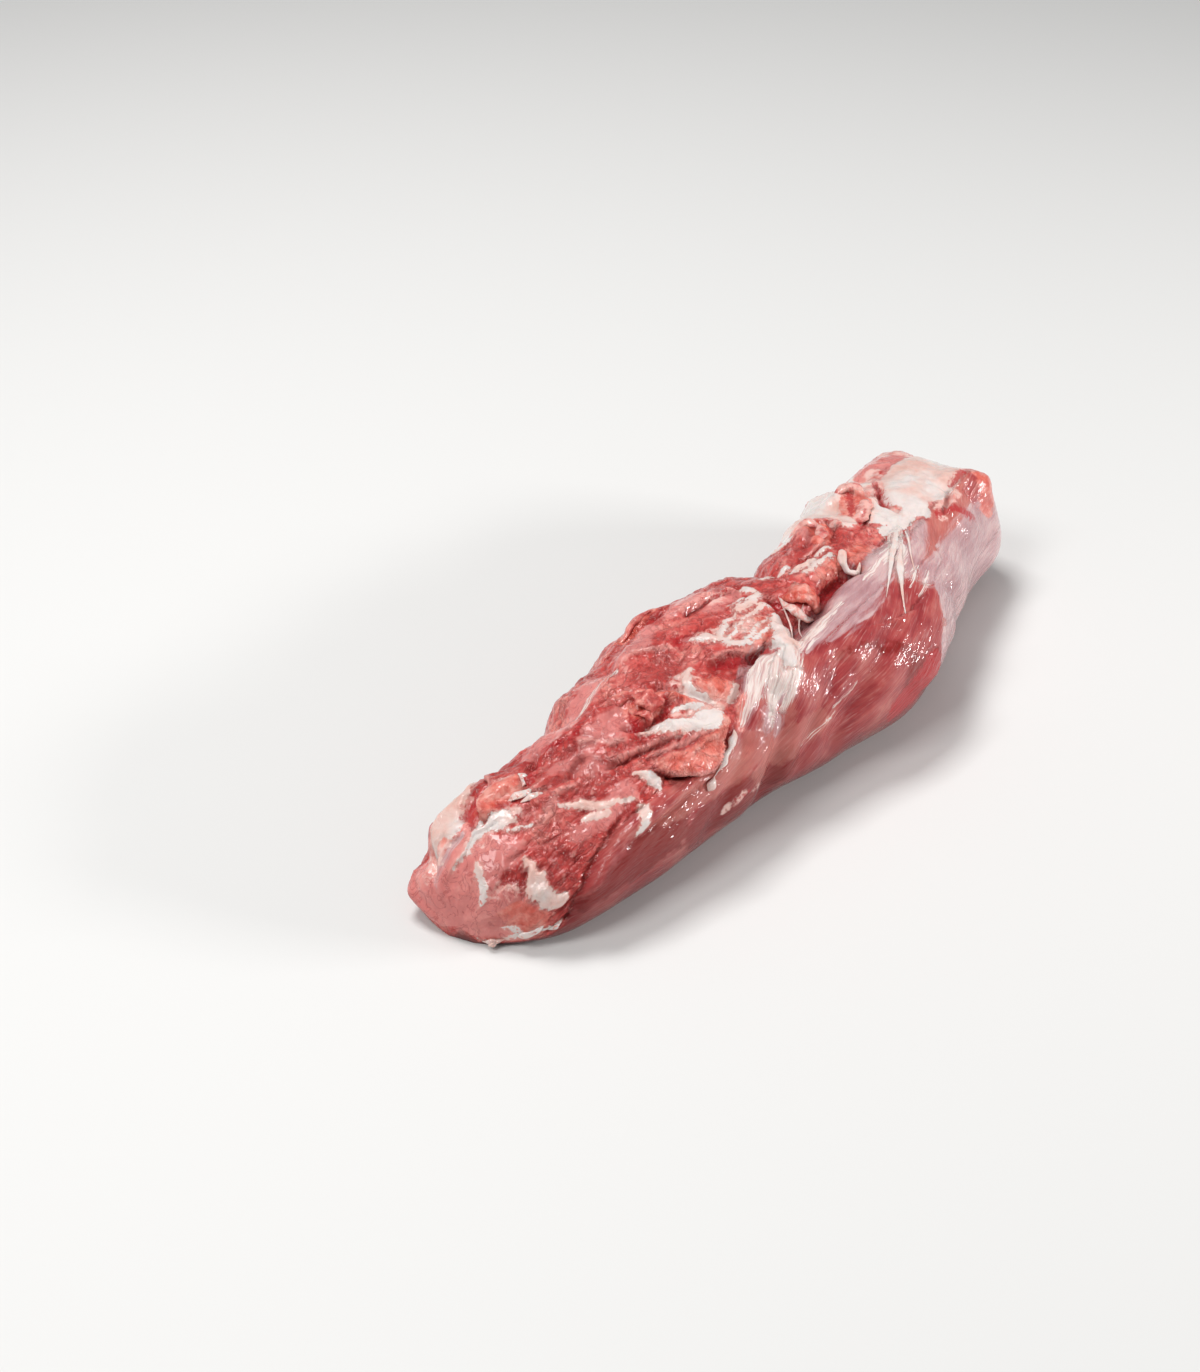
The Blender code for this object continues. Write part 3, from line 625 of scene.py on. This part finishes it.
# The grain map: millimetres along the muscle's fibres and across them. On the whole side they wind round,
# from this far from the tail.
WINDING_START = 60
corners = np.empty(len(mesh.loops), dtype=np.int32)
mesh.loops.foreach_get("vertex_index", corners)
counts = np.empty(len(mesh.polygons), dtype=np.int32)
mesh.polygons.foreach_get("loop_total", counts)
corner_around = around[corners]
faces_of = np.repeat(np.arange(len(counts)), counts)
highest = np.full(len(counts), -np.inf)
np.maximum.at(highest, faces_of, corner_around)
wrapped = (highest[faces_of] - corner_around) > math.pi
corner_girth = (corner_around + 2 * math.pi * wrapped) * GIRTH_RADIUS * end_closing(share[corners])
corner_along = share[corners] * LENGTH
from_tail = corner_along - WINDING_START
winding = FLANK_WIND * (1 - tissues["cut_face"][corners]) * smooth(from_tail / WINDING_START)
grain_map = np.stack((corner_along, corner_girth + winding * from_tail), -1)
mesh.uv_layers.new(name="grain").data.foreach_set("uv", grain_map.ravel())
mesh.uv_layers.new(name="strand").data.foreach_set("uv", strand[corners].ravel())
loin = bpy.data.objects.new("loin", mesh)
bpy.context.scene.collection.objects.link(loin)


def colour(code):
    """An sRGB hex colour as linear red, green, blue and alpha."""
    parts = [int(code[i:i + 2], 16) / 255 for i in (0, 2, 4)]
    return tuple(p / 12.92 if p <= 0.04045 else ((p + 0.055) / 1.055) ** 2.4 for p in parts) + (1.0,)


def add(tree, kind, inputs=None, stops=None, output=0, **settings):
    """Adds a node with its settings, its ramp's stops and its inputs, and gives one of its outputs. An input
    is a value, a socket to link, or a sum such as ("ADD", first, second), which becomes a Math node."""
    node = tree.nodes.new(kind)
    for name, value in settings.items():
        setattr(node, name, value)
    if stops:
        ramp = node.color_ramp.elements
        while len(ramp) < len(stops):
            ramp.new(1.0)
        for element, (position, code) in zip(ramp, stops):
            element.position = position
            element.color = colour(code)
    for key, value in (inputs or {}).items():
        if isinstance(value, tuple) and isinstance(value[0], str):
            value = add(tree, "ShaderNodeMath", dict(enumerate(value[1:])), operation=value[0])
        if isinstance(value, bpy.types.NodeSocket):
            tree.links.new(value, node.inputs[key])
        else:
            node.inputs[key].default_value = value
    return node.outputs[output]


# Raw pork: wet lean muscle, cut and torn, with creamy fat, half-clear fascia, silky sinew, orange glands and
# blood. All of it is soft, full of water and a little see-through, and a thin film of juice gives small sharp
# highlights.
# In millimetres: the size of the waves that the patterns wander in, how far the grains and the seams are
# carried by them, the size of a grain, and of a muscle bundle seen from the side.
WANDER_SIZE, GRAIN_WANDER, SEAM_WANDER = 5.0, 5.0, (9.0, 6.0)
GRAIN_SIZE, SEAM_SIZE = 1.5, (15.0, 5.0)
BUMP_HEIGHT = 0.8 * MM
TISSUES = (*STROKES, "cut_face", "film", "hollow", "frayed")


def raw_pork():
    material = bpy.data.materials.new("raw_pork")
    material.use_nodes = True
    tree = material.node_tree
    shader = tree.nodes["Principled BSDF"]
    tissue = {name: add(tree, "ShaderNodeAttribute", output="Fac", attribute_name=name) for name in TISSUES}
    place = add(tree, "ShaderNodeTexCoord", output="Object")
    body = add(tree, "ShaderNodeVectorMath", {"Vector": place, "Scale": 1 / MM}, operation="SCALE")
    grain = add(tree, "ShaderNodeUVMap", uv_map="grain")
    strand = add(tree, "ShaderNodeUVMap", uv_map="strand")

    # patterns: sizes in millimetres, through the body, or along and across the grain or a strand
    pattern = {}
    for name, surface, size, detail, distortion in (
        ("drift", body, (26.0, 26.0, 26.0), 2.0, 0.0),
        ("mottle", body, (12.0, 12.0, 12.0), 3.0, 0.0),
        ("patchy", body, (3.4, 3.4, 3.4), 4.0, 0.0),
        ("speckle", body, (1.1, 1.1, 1.1), 3.0, 0.0),
        ("crinkle", body, (5.0, 5.0, 5.0), 4.0, 1.2),
        ("streak", grain, (16.0, 2.4, 1.0), 3.0, 0.4),
        ("fibre", grain, (6.0, 0.7, 1.0), 2.0, 0.3),
        ("ripple", grain, (3.6, 1.4, 1.0), 1.0, 0.2),
        ("veil", strand, (14.0, 1.7, 1.0), 3.0, 0.5),
        ("thread", strand, (8.0, 0.5, 1.0), 2.0, 0.3),
    ):
        inputs = {"Vector": surface, "Scale": tuple(1.0 / side for side in size)}
        inputs = {"Vector": add(tree, "ShaderNodeMapping", inputs), "Scale": 1.0, "Detail": detail}
        inputs |= {"Roughness": 0.55, "Distortion": distortion}
        pattern[name] = add(tree, "ShaderNodeTexNoise", inputs)
    inputs = {"Vector": body, "Scale": 1 / WANDER_SIZE, "Detail": 3.0}
    wander = add(tree, "ShaderNodeTexNoise", inputs, output="Color")
    inputs = {0: wander, 1: (GRAIN_WANDER,) * 3, 2: body}
    warped = add(tree, "ShaderNodeVectorMath", inputs, operation="MULTIPLY_ADD")
    inputs = {0: wander, 1: (*SEAM_WANDER, 0.0), 2: grain}
    winding = add(tree, "ShaderNodeVectorMath", inputs, operation="MULTIPLY_ADD")
    inputs = {"Vector": winding, "Scale": (1 / SEAM_SIZE[0], 1 / SEAM_SIZE[1], 1.0)}
    inputs = {"Vector": add(tree, "ShaderNodeMapping", inputs), "Scale": 1.0}
    bundle_edge = add(tree, "ShaderNodeTexVoronoi", inputs, output="Distance", feature="DISTANCE_TO_EDGE")
    inputs = {"Vector": warped, "Scale": 1 / GRAIN_SIZE}
    grains = add(tree, "ShaderNodeTexVoronoi", inputs, output="Distance", feature="F1")
    line = {}
    for name, value, low, high in (
        ("seam", bundle_edge, 0.06, 0.0), ("seam_gate", pattern["mottle"], 0.40, 0.56),
        ("wrinkle", ("ABSOLUTE", ("SUBTRACT", pattern["crinkle"], 0.5)), 0.035, 0.0),
    ):
        inputs = {"Value": value, "From Min": low, "From Max": high}
        line[name] = add(tree, "ShaderNodeMapRange", inputs, interpolation_type="SMOOTHSTEP")
    wrinkle = line["wrinkle"]
    seams = ("MULTIPLY", ("MULTIPLY", line["seam"], line["seam_gate"]), ("SUBTRACT", 1.0, tissue["film"]))

    # a tissue's edge is broken up by a pattern, while its inside and outside stay whole
    edge = {}
    for name, breaker, reach in (
        ("fat", "speckle", 1.3), ("pink_fat", "patchy", 3.0), ("sinew", "thread", 2.6),
        ("fascia", "veil", 2.8), ("gland", "patchy", 2.0), ("blood", "speckle", 2.0), ("deep", "patchy", 2.4),
        ("film", "patchy", 2.4),
    ):
        window = ("MULTIPLY", ("MULTIPLY", 4.0 * reach, tissue[name]), ("SUBTRACT", 1.0, tissue[name]))
        edge[name] = ("MULTIPLY_ADD", ("SUBTRACT", pattern[breaker], 0.5), window, tissue[name])

    # each tissue's own colours
    blended = ("MULTIPLY_ADD", pattern["drift"], 0.3, ("MULTIPLY", pattern["patchy"], 0.3))
    blended = ("MULTIPLY_ADD", pattern["mottle"], 0.4, blended)
    tint = {}
    for name, spread, stops in (
        ("cut", blended, ((0.41, "A53330"), (0.47, "C04742"), (0.53, "CD5F59"), (0.59, "DE857A"))),
        ("whole", ("MULTIPLY_ADD", pattern["streak"], 0.35, ("MULTIPLY", pattern["mottle"], 0.65)),
         ((0.36, "8E2E31"), (0.46, "9F3D3E"), (0.54, "AC4E4B"), (0.64, "BB6C64"))),
        ("fascia", ("MULTIPLY", ("ADD", pattern["veil"], pattern["mottle"]), 0.5),
         ((0.36, "AE868A"), (0.48, "BE9A9C"), (0.60, "D0B4B3"))),
        ("sinew", pattern["thread"], ((0.34, "C9A3A0"), (0.46, "DAC1BA"), (0.58, "E4D6CF"))),
        ("pink_fat", pattern["patchy"], ((0.38, "D58980"), (0.48, "E0A79D"), (0.60, "E8C4BA"))),
        ("gland", pattern["patchy"], ((0.36, "C95140"), (0.5, "DB7160"), (0.64, "E8988A"))),
        ("fat", pattern["mottle"], ((0.34, "DBAFA3"), (0.46, "DEC0B7"), (0.58, "DCCFCA"))),
    ):
        tint[name] = add(tree, "ShaderNodeValToRGB", {"Fac": spread}, stops)

    # the layers, each laid over the last: its mask, where that starts and where it is full, strength, colour
    height_mm = add(tree, "ShaderNodeSeparateXYZ", {0: body}, output=2)
    layers_of = {
        "cut": (
            (grains, 0.42, 0.75, 0.18, colour("962A2A")),
            (grains, 0.30, 0.10, 0.22, colour("E8A79D")),
            (edge["film"], 0.2, 0.9, 0.60, colour("DC938D")),
            (edge["deep"], 0.3, 0.9, 0.30, colour("8F302D")),
            # frayed fibres and a painted highlight on the lips and ridges
            (tissue["frayed"], 0.0, 1.0, 0.50, colour("E6AAA0")),
            # painted shade in the fine wrinkles and in the seams between bundles
            (wrinkle, 0.0, 1.0, 0.34, colour("8E2A2A")),
            (seams, 0.0, 1.0, 0.28, colour("8A2626")),
        ),
        "whole": (
            (pattern["fibre"], 0.52, 0.76, 0.40, colour("CF9A93")),
            (pattern["fibre"], 0.46, 0.28, 0.35, colour("772229")),
            # painted shade on the whole side, where the deep strokes lie
            (edge["deep"], 0.3, 0.9, 0.80, colour("7C1814")),
            (edge["film"], 0.2, 0.9, 0.45, colour("C67C70")),
            # painted shade: the whole side darkens towards the floor, fully at 2 millimetres up and not at
            # all past 24
            (height_mm, 24.0, 2.0, 0.72, colour("520B0F")),
        ),
    }
    for kind, layers_here in layers_of.items():
        for mask, low, high, strength, above in layers_here:
            inputs = {"Value": mask, "From Min": low, "From Max": high, "To Max": strength}
            amount = add(tree, "ShaderNodeMapRange", inputs, interpolation_type="SMOOTHSTEP")
            inputs = {0: amount, 6: tint[kind], 7: above}
            tint[kind] = add(tree, "ShaderNodeMix", inputs, output=2, data_type="RGBA")
    inputs = {0: tissue["cut_face"], 6: tint["whole"], 7: tint["cut"]}
    base = add(tree, "ShaderNodeMix", inputs, output=2, data_type="RGBA")
    inputs = {"Value": edge["fat"], "From Min": 0.42, "From Max": 0.62}
    fat_amount = add(tree, "ShaderNodeMapRange", inputs, interpolation_type="SMOOTHSTEP")
    # The painted shade in gaps, creases and under ledges, weaker where there is fat.
    painted_shade_off_fat = ("MULTIPLY", tissue["hollow"], ("MULTIPLY_ADD", fat_amount, -0.6, 1.0))
    for mask, low, high, strength, above in (
        (edge["fascia"], 0.18, 1.00, 0.82, tint["fascia"]),
        (edge["pink_fat"], 0.30, 0.80, 0.80, tint["pink_fat"]),
        (edge["gland"], 0.30, 0.80, 0.72, tint["gland"]),
        (edge["sinew"], 0.35, 0.80, 0.95, tint["sinew"]),
        (edge["fat"], 0.10, 0.50, 0.50, colour("DFA69B")),
        (fat_amount, 0.0, 1.0, 1.0, tint["fat"]),
        (painted_shade_off_fat, 0.0, 1.0, 0.66, colour("7E1416")),
        (edge["blood"], 0.35, 0.85, 0.80, colour("AE2025")),
    ):
        inputs = {"Value": mask, "From Min": low, "From Max": high, "To Max": strength}
        amount = add(tree, "ShaderNodeMapRange", inputs, interpolation_type="SMOOTHSTEP")
        base = add(tree, "ShaderNodeMix", {0: amount, 6: base, 7: above}, output=2, data_type="RGBA")

    # relief too fine for the mesh: grains, wrinkles, seams, fibres and threads, and the juice's own ripple
    torn_height = ("MULTIPLY", pattern["speckle"], 0.5)
    for mark, depth in ((pattern["patchy"], 0.9), (grains, -0.3), (wrinkle, -0.45), (seams, -0.5)):
        torn_height = ("MULTIPLY_ADD", mark, depth, torn_height)
    smoothed = ("MAXIMUM", tissue["film"], fat_amount)
    torn_height = ("MULTIPLY", torn_height, ("MULTIPLY_ADD", smoothed, -0.75, 1.0))
    whole_height = ("MULTIPLY_ADD", pattern["streak"], 0.6, ("MULTIPLY", pattern["fibre"], 0.35))
    silk = ("MULTIPLY", pattern["thread"], ("MULTIPLY", 0.6, ("MAXIMUM", tissue["sinew"], tissue["fascia"])))
    height = add(tree, "ShaderNodeMix", {0: tissue["cut_face"], 2: whole_height, 3: torn_height})
    height = add(tree, "ShaderNodeMath", {0: height, 1: silk}, operation="ADD")
    bump = add(tree, "ShaderNodeBump", {"Height": height, "Strength": 0.75, "Distance": BUMP_HEIGHT})
    tree.links.new(base, shader.inputs["Base Color"])
    tree.links.new(bump, shader.inputs["Normal"])
    wet = add(tree, "ShaderNodeMath", {0: pattern["mottle"], 1: 0.4, 2: 0.18}, operation="MULTIPLY_ADD")
    tree.links.new(wet, shader.inputs["Roughness"])
    inputs = {0: tissue["cut_face"], 2: ("MULTIPLY", pattern["ripple"], 1.6), 3: height}
    inputs = {"Height": add(tree, "ShaderNodeMix", inputs), "Strength": 0.5, "Distance": BUMP_HEIGHT}
    juice = add(tree, "ShaderNodeBump", inputs)
    tree.links.new(juice, shader.inputs["Coat Normal"])
    for socket, value in (
        ("IOR", 1.38), ("Subsurface Weight", 0.2), ("Subsurface Radius", (1.0, 0.35, 0.25)),
        ("Subsurface Scale", 0.0016), ("Coat Weight", 0.9), ("Coat Roughness", 0.07), ("Coat IOR", 1.34),
        ("Specular IOR Level", 0.16),
    ):
        shader.inputs[socket].default_value = value
    return material


pork = raw_pork()
loin.data.materials.append(pork)
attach(loin, "root")
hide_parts("tenderloin")

# Loose ends of fat, gland and flesh that stand free of the loin: threads, curls and beads left by the knife,
# and the silvery ribbons of fascia. Each is a strip that runs over the skin, in rows of (along, around, lift,
# half width, half height), the last three in millimetres.
STRIP_SIDES, STRIP_RINGS = 14, 44
STRIP_LUMPS, STRIP_STEP = 2.6, 0.01


def rows_through(rows, shares):
    return np.stack([through(column, shares) for column in rows.T], axis=-1)


def strips(name, tissue, lumpiness, *paths):
    """One piece made of several strips that share a tissue."""
    piece = bmesh.new()
    for path in paths:
        made = bmesh.ops.create_uvsphere(piece, u_segments=STRIP_SIDES, v_segments=STRIP_RINGS, radius=1.0)
        ball = np.array([vert.co for vert in made["verts"]])
        part = np.arccos(np.clip(ball[:, 2], -1.0, 1.0)) / math.pi
        turn = np.arctan2(ball[:, 1], ball[:, 0])
        rows = np.array(path, float)
        places = rows[:, 0] / LENGTH, np.radians(rows[:, 1])
        lifted = loin_skin(*places)[0] + skin_axes(*places)[0] * rows[:, 2:3]
        knots = np.concatenate((lifted, skin_axes(*places)[0], rows[:, 3:]), axis=1)
        read = rows_through(knots, part)
        after = rows_through(knots, np.minimum(part + STRIP_STEP, 1))
        before = rows_through(knots, np.maximum(part - STRIP_STEP, 0))
        ahead = after[:, :3] - before[:, :3]
        side = np.cross(read[:, 3:6], ahead)
        side /= np.linalg.norm(side, axis=1, keepdims=True)
        up = np.cross(ahead, side)
        up /= np.linalg.norm(up, axis=1, keepdims=True)
        closing = np.sqrt(np.sin(part * math.pi).clip(0.0, 1.0))[:, None]
        around_strip = side * (np.cos(turn) * read[:, 6])[:, None]
        around_strip += up * (np.sin(turn) * read[:, 7])[:, None]
        points = read[:, :3] + around_strip * closing
        points += around_strip * closing * lumpiness * perlin(points, STRIP_LUMPS)[:, None]
        points[:, 2] = np.maximum(points[:, 2], 0.0)
        for vert, point in zip(made["verts"], points):
            vert.co = point * MM
    piece.normal_update()
    bmesh.ops.recalc_face_normals(piece, faces=piece.faces)
    data = bpy.data.meshes.new(name)
    piece.to_mesh(data)
    piece.free()
    data.shade_smooth()
    for kind, value in tissue.items():
        values = np.full(len(data.vertices), value)
        data.attributes.new(kind, "FLOAT", "POINT").data.foreach_set("value", values)
    data.materials.append(pork)
    strip = bpy.data.objects.new(name, data)
    bpy.context.scene.collection.objects.link(strip)
    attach(strip, "root")


WHITE_FAT = {"cut_face": 1.0, "fat": 0.95, "film": 1.0}
SOFT_FAT = {"cut_face": 1.0, "fat": 0.62, "pink_fat": 0.6, "film": 0.8}
GLAND = {"cut_face": 1.0, "gland": 0.34, "pink_fat": 0.62, "film": 0.8}
NECK_GLAND = {"cut_face": 1.0, "gland": 0.85, "pink_fat": 0.3, "film": 0.5}
RIM_FAT = {"cut_face": 1.0, "fat": 0.52, "pink_fat": 0.9, "film": 0.8}
RED_FLESH = {"cut_face": 1.0, "gland": 0.48, "frayed": 0.2, "film": 0.5}
SILVERY = {"cut_face": 0.4, "sinew": 0.7, "film": 1.0}
strips(
    "fat_drip", WHITE_FAT, 0.7,
    ((82, 49, 0.2, 0.7, 0.4), (80.5, 52, 0.6, 1.5, 0.7), (78.5, 54, 0.6, 1.7, 0.8),
     (76.8, 56.5, 0.4, 0.8, 0.5), (74.6, 59, 0.5, 1.3, 0.7), (72.6, 61.5, 0.5, 1.1, 0.7),
     (70.6, 63.5, 0.3, 0.4, 0.3), (68.4, 65.5, 0.3, 0.25, 0.25)),
    ((68.8, 65, 0.2, 0.35, 0.35), (67.4, 67, 0.6, 1.0, 0.8), (66.2, 69, 0.7, 1.5, 1.0),
     (65.0, 71, 0.4, 1.0, 0.7)),
)
strips(
    "fat_hook", WHITE_FAT, 0.5,
    ((167.5, -2.6, 0.0, 1.0, 0.7), (165.8, -1.6, 0.8, 1.5, 1.0), (163.4, -0.6, 1.6, 1.4, 1.0),
     (161.4, 1.4, 2.5, 1.3, 1.0), (161.2, 4.0, 2.9, 1.2, 0.9), (162.8, 6.2, 2.7, 1.2, 0.9),
     (164.8, 7.0, 2.1, 1.4, 1.0), (166.4, 6.0, 1.3, 1.1, 0.8)),
)
strips(
    "neck_knob", NECK_GLAND, 0.7,
    ((134, 0, -0.4, 1.8, 1.0), (136, 1.6, 0.3, 3.6, 1.5), (138.4, 4.6, 0.8, 4.6, 1.9),
     (140, 8, 0.7, 4.0, 1.8), (140.5, 11.5, -0.1, 2.4, 1.2)),
)
strips(
    "neck_knob_rim", RIM_FAT, 0.5,
    ((134.5, -1, -0.4, 0.8, 0.5), (133, 3, 0.2, 1.4, 0.7), (132.4, 8, 0.6, 2.0, 0.9),
     (133.6, 12.6, 0.4, 2.2, 0.9), (137, 14, 0.0, 1.5, 0.7)),
)
strips(
    "red_curl", RED_FLESH, 0.9,
    ((61, -15, -0.6, 1.2, 0.7), (65.5, -11, 0.2, 1.8, 1.0), (70, -7, 0.6, 2.2, 1.1),
     (74, -3, 0.4, 1.8, 1.0), (77, 3, -0.4, 1.1, 0.6)),
    ((74, -3, 0.0, 1.6, 0.8), (72, 0, 1.2, 2.6, 1.1), (71, 4, 1.9, 3.2, 1.2), (69, 8, 1.7, 3.0, 1.1),
     (67, 11, 0.8, 2.2, 0.9)),
    ((66, 2, 0.1, 1.0, 0.6), (67.5, 5, 1.0, 1.5, 0.8), (67, 9, 1.2, 1.5, 0.8), (66, 12, 0.3, 1.0, 0.6)),
)
strips(
    "tail_flakes", SOFT_FAT, 0.5,
    ((25.5, -13, 0.0, 0.9, 0.3), (28, -11, 0.4, 1.5, 0.4), (30.5, -9, 0.4, 1.3, 0.4),
     (32, -7, 0.0, 0.7, 0.3)),
    ((26.5, -7, 0.0, 0.7, 0.3), (28.6, -5, 0.3, 1.2, 0.4), (30.6, -3.5, 0.3, 0.9, 0.4),
     (31.6, -2, 0.0, 0.5, 0.3)),
    ((35, -25, 0.0, 0.7, 0.4), (35, -21.5, 0.5, 1.3, 0.6), (33.5, -18, 0.4, 1.3, 0.6),
     (31.5, -16, -0.1, 0.7, 0.4)),
)
strips(
    "left_curls", RED_FLESH, 0.4,
    ((95, -48, -1.0, 1.0, 0.6), (100, -47, -0.3, 1.6, 0.9), (106, -46, 0.0, 1.9, 1.0),
     (112, -45, -0.1, 1.6, 0.9), (116, -42, -0.7, 0.9, 0.6)),
    ((84, -46, -0.9, 0.9, 0.5), (88, -47, -0.2, 1.4, 0.7), (92, -46, -0.3, 1.2, 0.7),
     (94, -42, -0.8, 0.7, 0.5)),
)
strips(
    "head_lobes", GLAND, 0.4,
    ((171, -41, -0.8, 1.4, 0.8), (174.5, -36, 0.0, 2.2, 1.2), (177, -29, 0.3, 2.0, 1.2),
     (176, -22, 0.1, 2.2, 1.2)),
    ((177, -23, -0.3, 1.6, 0.9), (173, -18, 0.2, 2.0, 1.1), (168, -17, -0.2, 1.4, 0.8)),
    ((188, -11, -0.7, 1.6, 0.9), (193, -8, 0.0, 2.4, 1.3), (199, -8, 0.2, 2.6, 1.4),
     (203, -10, -0.3, 2.0, 1.1)),
    ((205, -12, -0.5, 1.8, 1.0), (207, -18, 0.2, 2.4, 1.4), (205, -25, 0.2, 2.6, 1.4),
     (199, -30, -0.7, 1.8, 0.9)),
)
strips(
    "cleft_threads", SILVERY, 0.2,
    ((134, -1, 0.4, 0.35, 0.35), (130, 8, 0.8, 0.3, 0.3), (127, 15, 0.8, 0.3, 0.3),
     (123.5, 22, 0.2, 0.4, 0.3)),
    ((136, 8, 0.5, 0.35, 0.3), (132, 12, 1.0, 0.25, 0.25), (129, 17, 0.8, 0.25, 0.25),
     (125, 25, 0.1, 0.4, 0.3)),
    ((131, 3, 0.4, 0.3, 0.3), (132, 8, 1.0, 0.25, 0.25), (131, 15, 0.6, 0.3, 0.3)),
)
strips(
    "fascia_ribbons", WHITE_FAT, 0.3,
    ((195, 11, 0.0, 1.6, 0.4), (186, 14.5, 0.2, 1.3, 0.35), (179, 16.5, 0.3, 0.9, 0.3),
     (171, 20.5, 0.3, 0.6, 0.3), (165, 25, 0.2, 0.4, 0.25), (158, 31, 0.0, 0.2, 0.2)),
    ((190, 17, 0.0, 0.9, 0.35), (181, 20.5, 0.3, 0.8, 0.35), (174, 25, 0.4, 1.3, 0.4),
     (170, 29, 0.3, 0.7, 0.3), (164, 37, 0.2, 0.4, 0.25), (159, 46, 0.1, 0.3, 0.2),
     (153, 59, 0.0, 0.2, 0.2)),
    ((199, 15, 0.0, 0.7, 0.3), (191, 20, 0.2, 0.4, 0.25), (183, 27, 0.2, 0.3, 0.2),
     (176, 36, 0.0, 0.2, 0.2)),
)
strips(
    "tail_fringe", SOFT_FAT, 0.9,
    ((0.6, 118, 0.2, 0.6, 0.4), (1.0, 114, 0.7, 1.1, 0.6), (1.5, 110, 0.5, 0.8, 0.5),
     (2.0, 106, 0.2, 0.4, 0.3)),
    ((1.2, 112, 0.6, 0.4, 0.3), (1.3, 113, 1.4, 0.6, 0.4), (1.0, 116, 1.8, 0.4, 0.3)),
    ((3.0, 101, 0.1, 0.5, 0.4), (3.8, 98, 0.6, 1.0, 0.6), (5.0, 95, 0.5, 1.0, 0.5),
     (6.2, 92, 0.0, 0.5, 0.3)),
    ((7.0, 101, 0.0, 0.5, 0.3), (8.2, 98, 0.4, 0.8, 0.4), (9.4, 95, 0.0, 0.4, 0.3)),
)

# A plain pale floor, level with the loin's underside.
FLOOR_HALF_SIDE = 3.0
floor_mesh = bmesh.new()
bmesh.ops.create_grid(floor_mesh, x_segments=1, y_segments=1, size=FLOOR_HALF_SIDE)
floor_data = bpy.data.meshes.new("floor")
floor_mesh.to_mesh(floor_data)
floor_mesh.free()
floor = bpy.data.objects.new("floor", floor_data)
bpy.context.scene.collection.objects.link(floor)
floor_paint = bpy.data.materials.new("floor_paint")
floor_paint.use_nodes = True
floor_paint.node_tree.nodes["Principled BSDF"].inputs["Base Color"].default_value = colour("D9D8D6")
floor_paint.node_tree.nodes["Principled BSDF"].inputs["Roughness"].default_value = 0.7
floor.data.materials.append(floor_paint)

# Soft studio light: a big softbox overhead and behind, a narrow bright one on the right for the wet glints,
# a faint fill from the front, and a pale room.
bpy.context.scene.view_settings.view_transform = "Standard"
world = bpy.data.worlds.new("room")
world.use_nodes = True
world.node_tree.nodes["Background"].inputs["Color"].default_value = colour("F2F4F6")
world.node_tree.nodes["Background"].inputs["Strength"].default_value = 0.25
bpy.context.scene.world = world


def softbox(name, place, target, size, power):
    light = bpy.data.lights.new(name, "AREA")
    light.shape = "RECTANGLE"
    light.size, light.size_y = size
    light.energy = power
    lamp = bpy.data.objects.new(name, light)
    lamp.location = place
    lamp.rotation_euler = (Vector(target) - Vector(place)).to_track_quat("-Z", "Y").to_euler()
    bpy.context.scene.collection.objects.link(lamp)


softbox("overhead", (0.05, 0.46, 1.06), (0.0, 0.0, 0.0), (0.5, 0.32), 9.5)
softbox("side", (0.55, -0.86, 0.31), (0.0, 0.0, 0.02), (0.34, 0.08), 8.2)
softbox("front", (-0.75, 0.12, 0.90), (-0.04, 0.0, 0.02), (0.4, 0.4), 5.4)

# The camera stands where the photographer's did: near the tail, to its right, looking 34 degrees down.
CAMERA_PLACE = (-0.4801, -0.2923, 0.399)
CAMERA_HEADING = math.radians(36.43)
CAMERA_DOWN = math.radians(34.3)
FOCAL_PX, FRAME_HEIGHT_PX, SENSOR = 2244.0, 1372.0, 36.0
camera = bpy.data.objects.new("camera", bpy.data.cameras.new("camera"))
camera.data.sensor_width = SENSOR
camera.data.lens = FOCAL_PX / FRAME_HEIGHT_PX * SENSOR
camera.location = CAMERA_PLACE
ahead = Vector((math.cos(CAMERA_HEADING), math.sin(CAMERA_HEADING), -math.tan(CAMERA_DOWN)))
camera.rotation_euler = ahead.to_track_quat("-Z", "Y").to_euler()
bpy.context.scene.collection.objects.link(camera)
bpy.context.scene.camera = camera
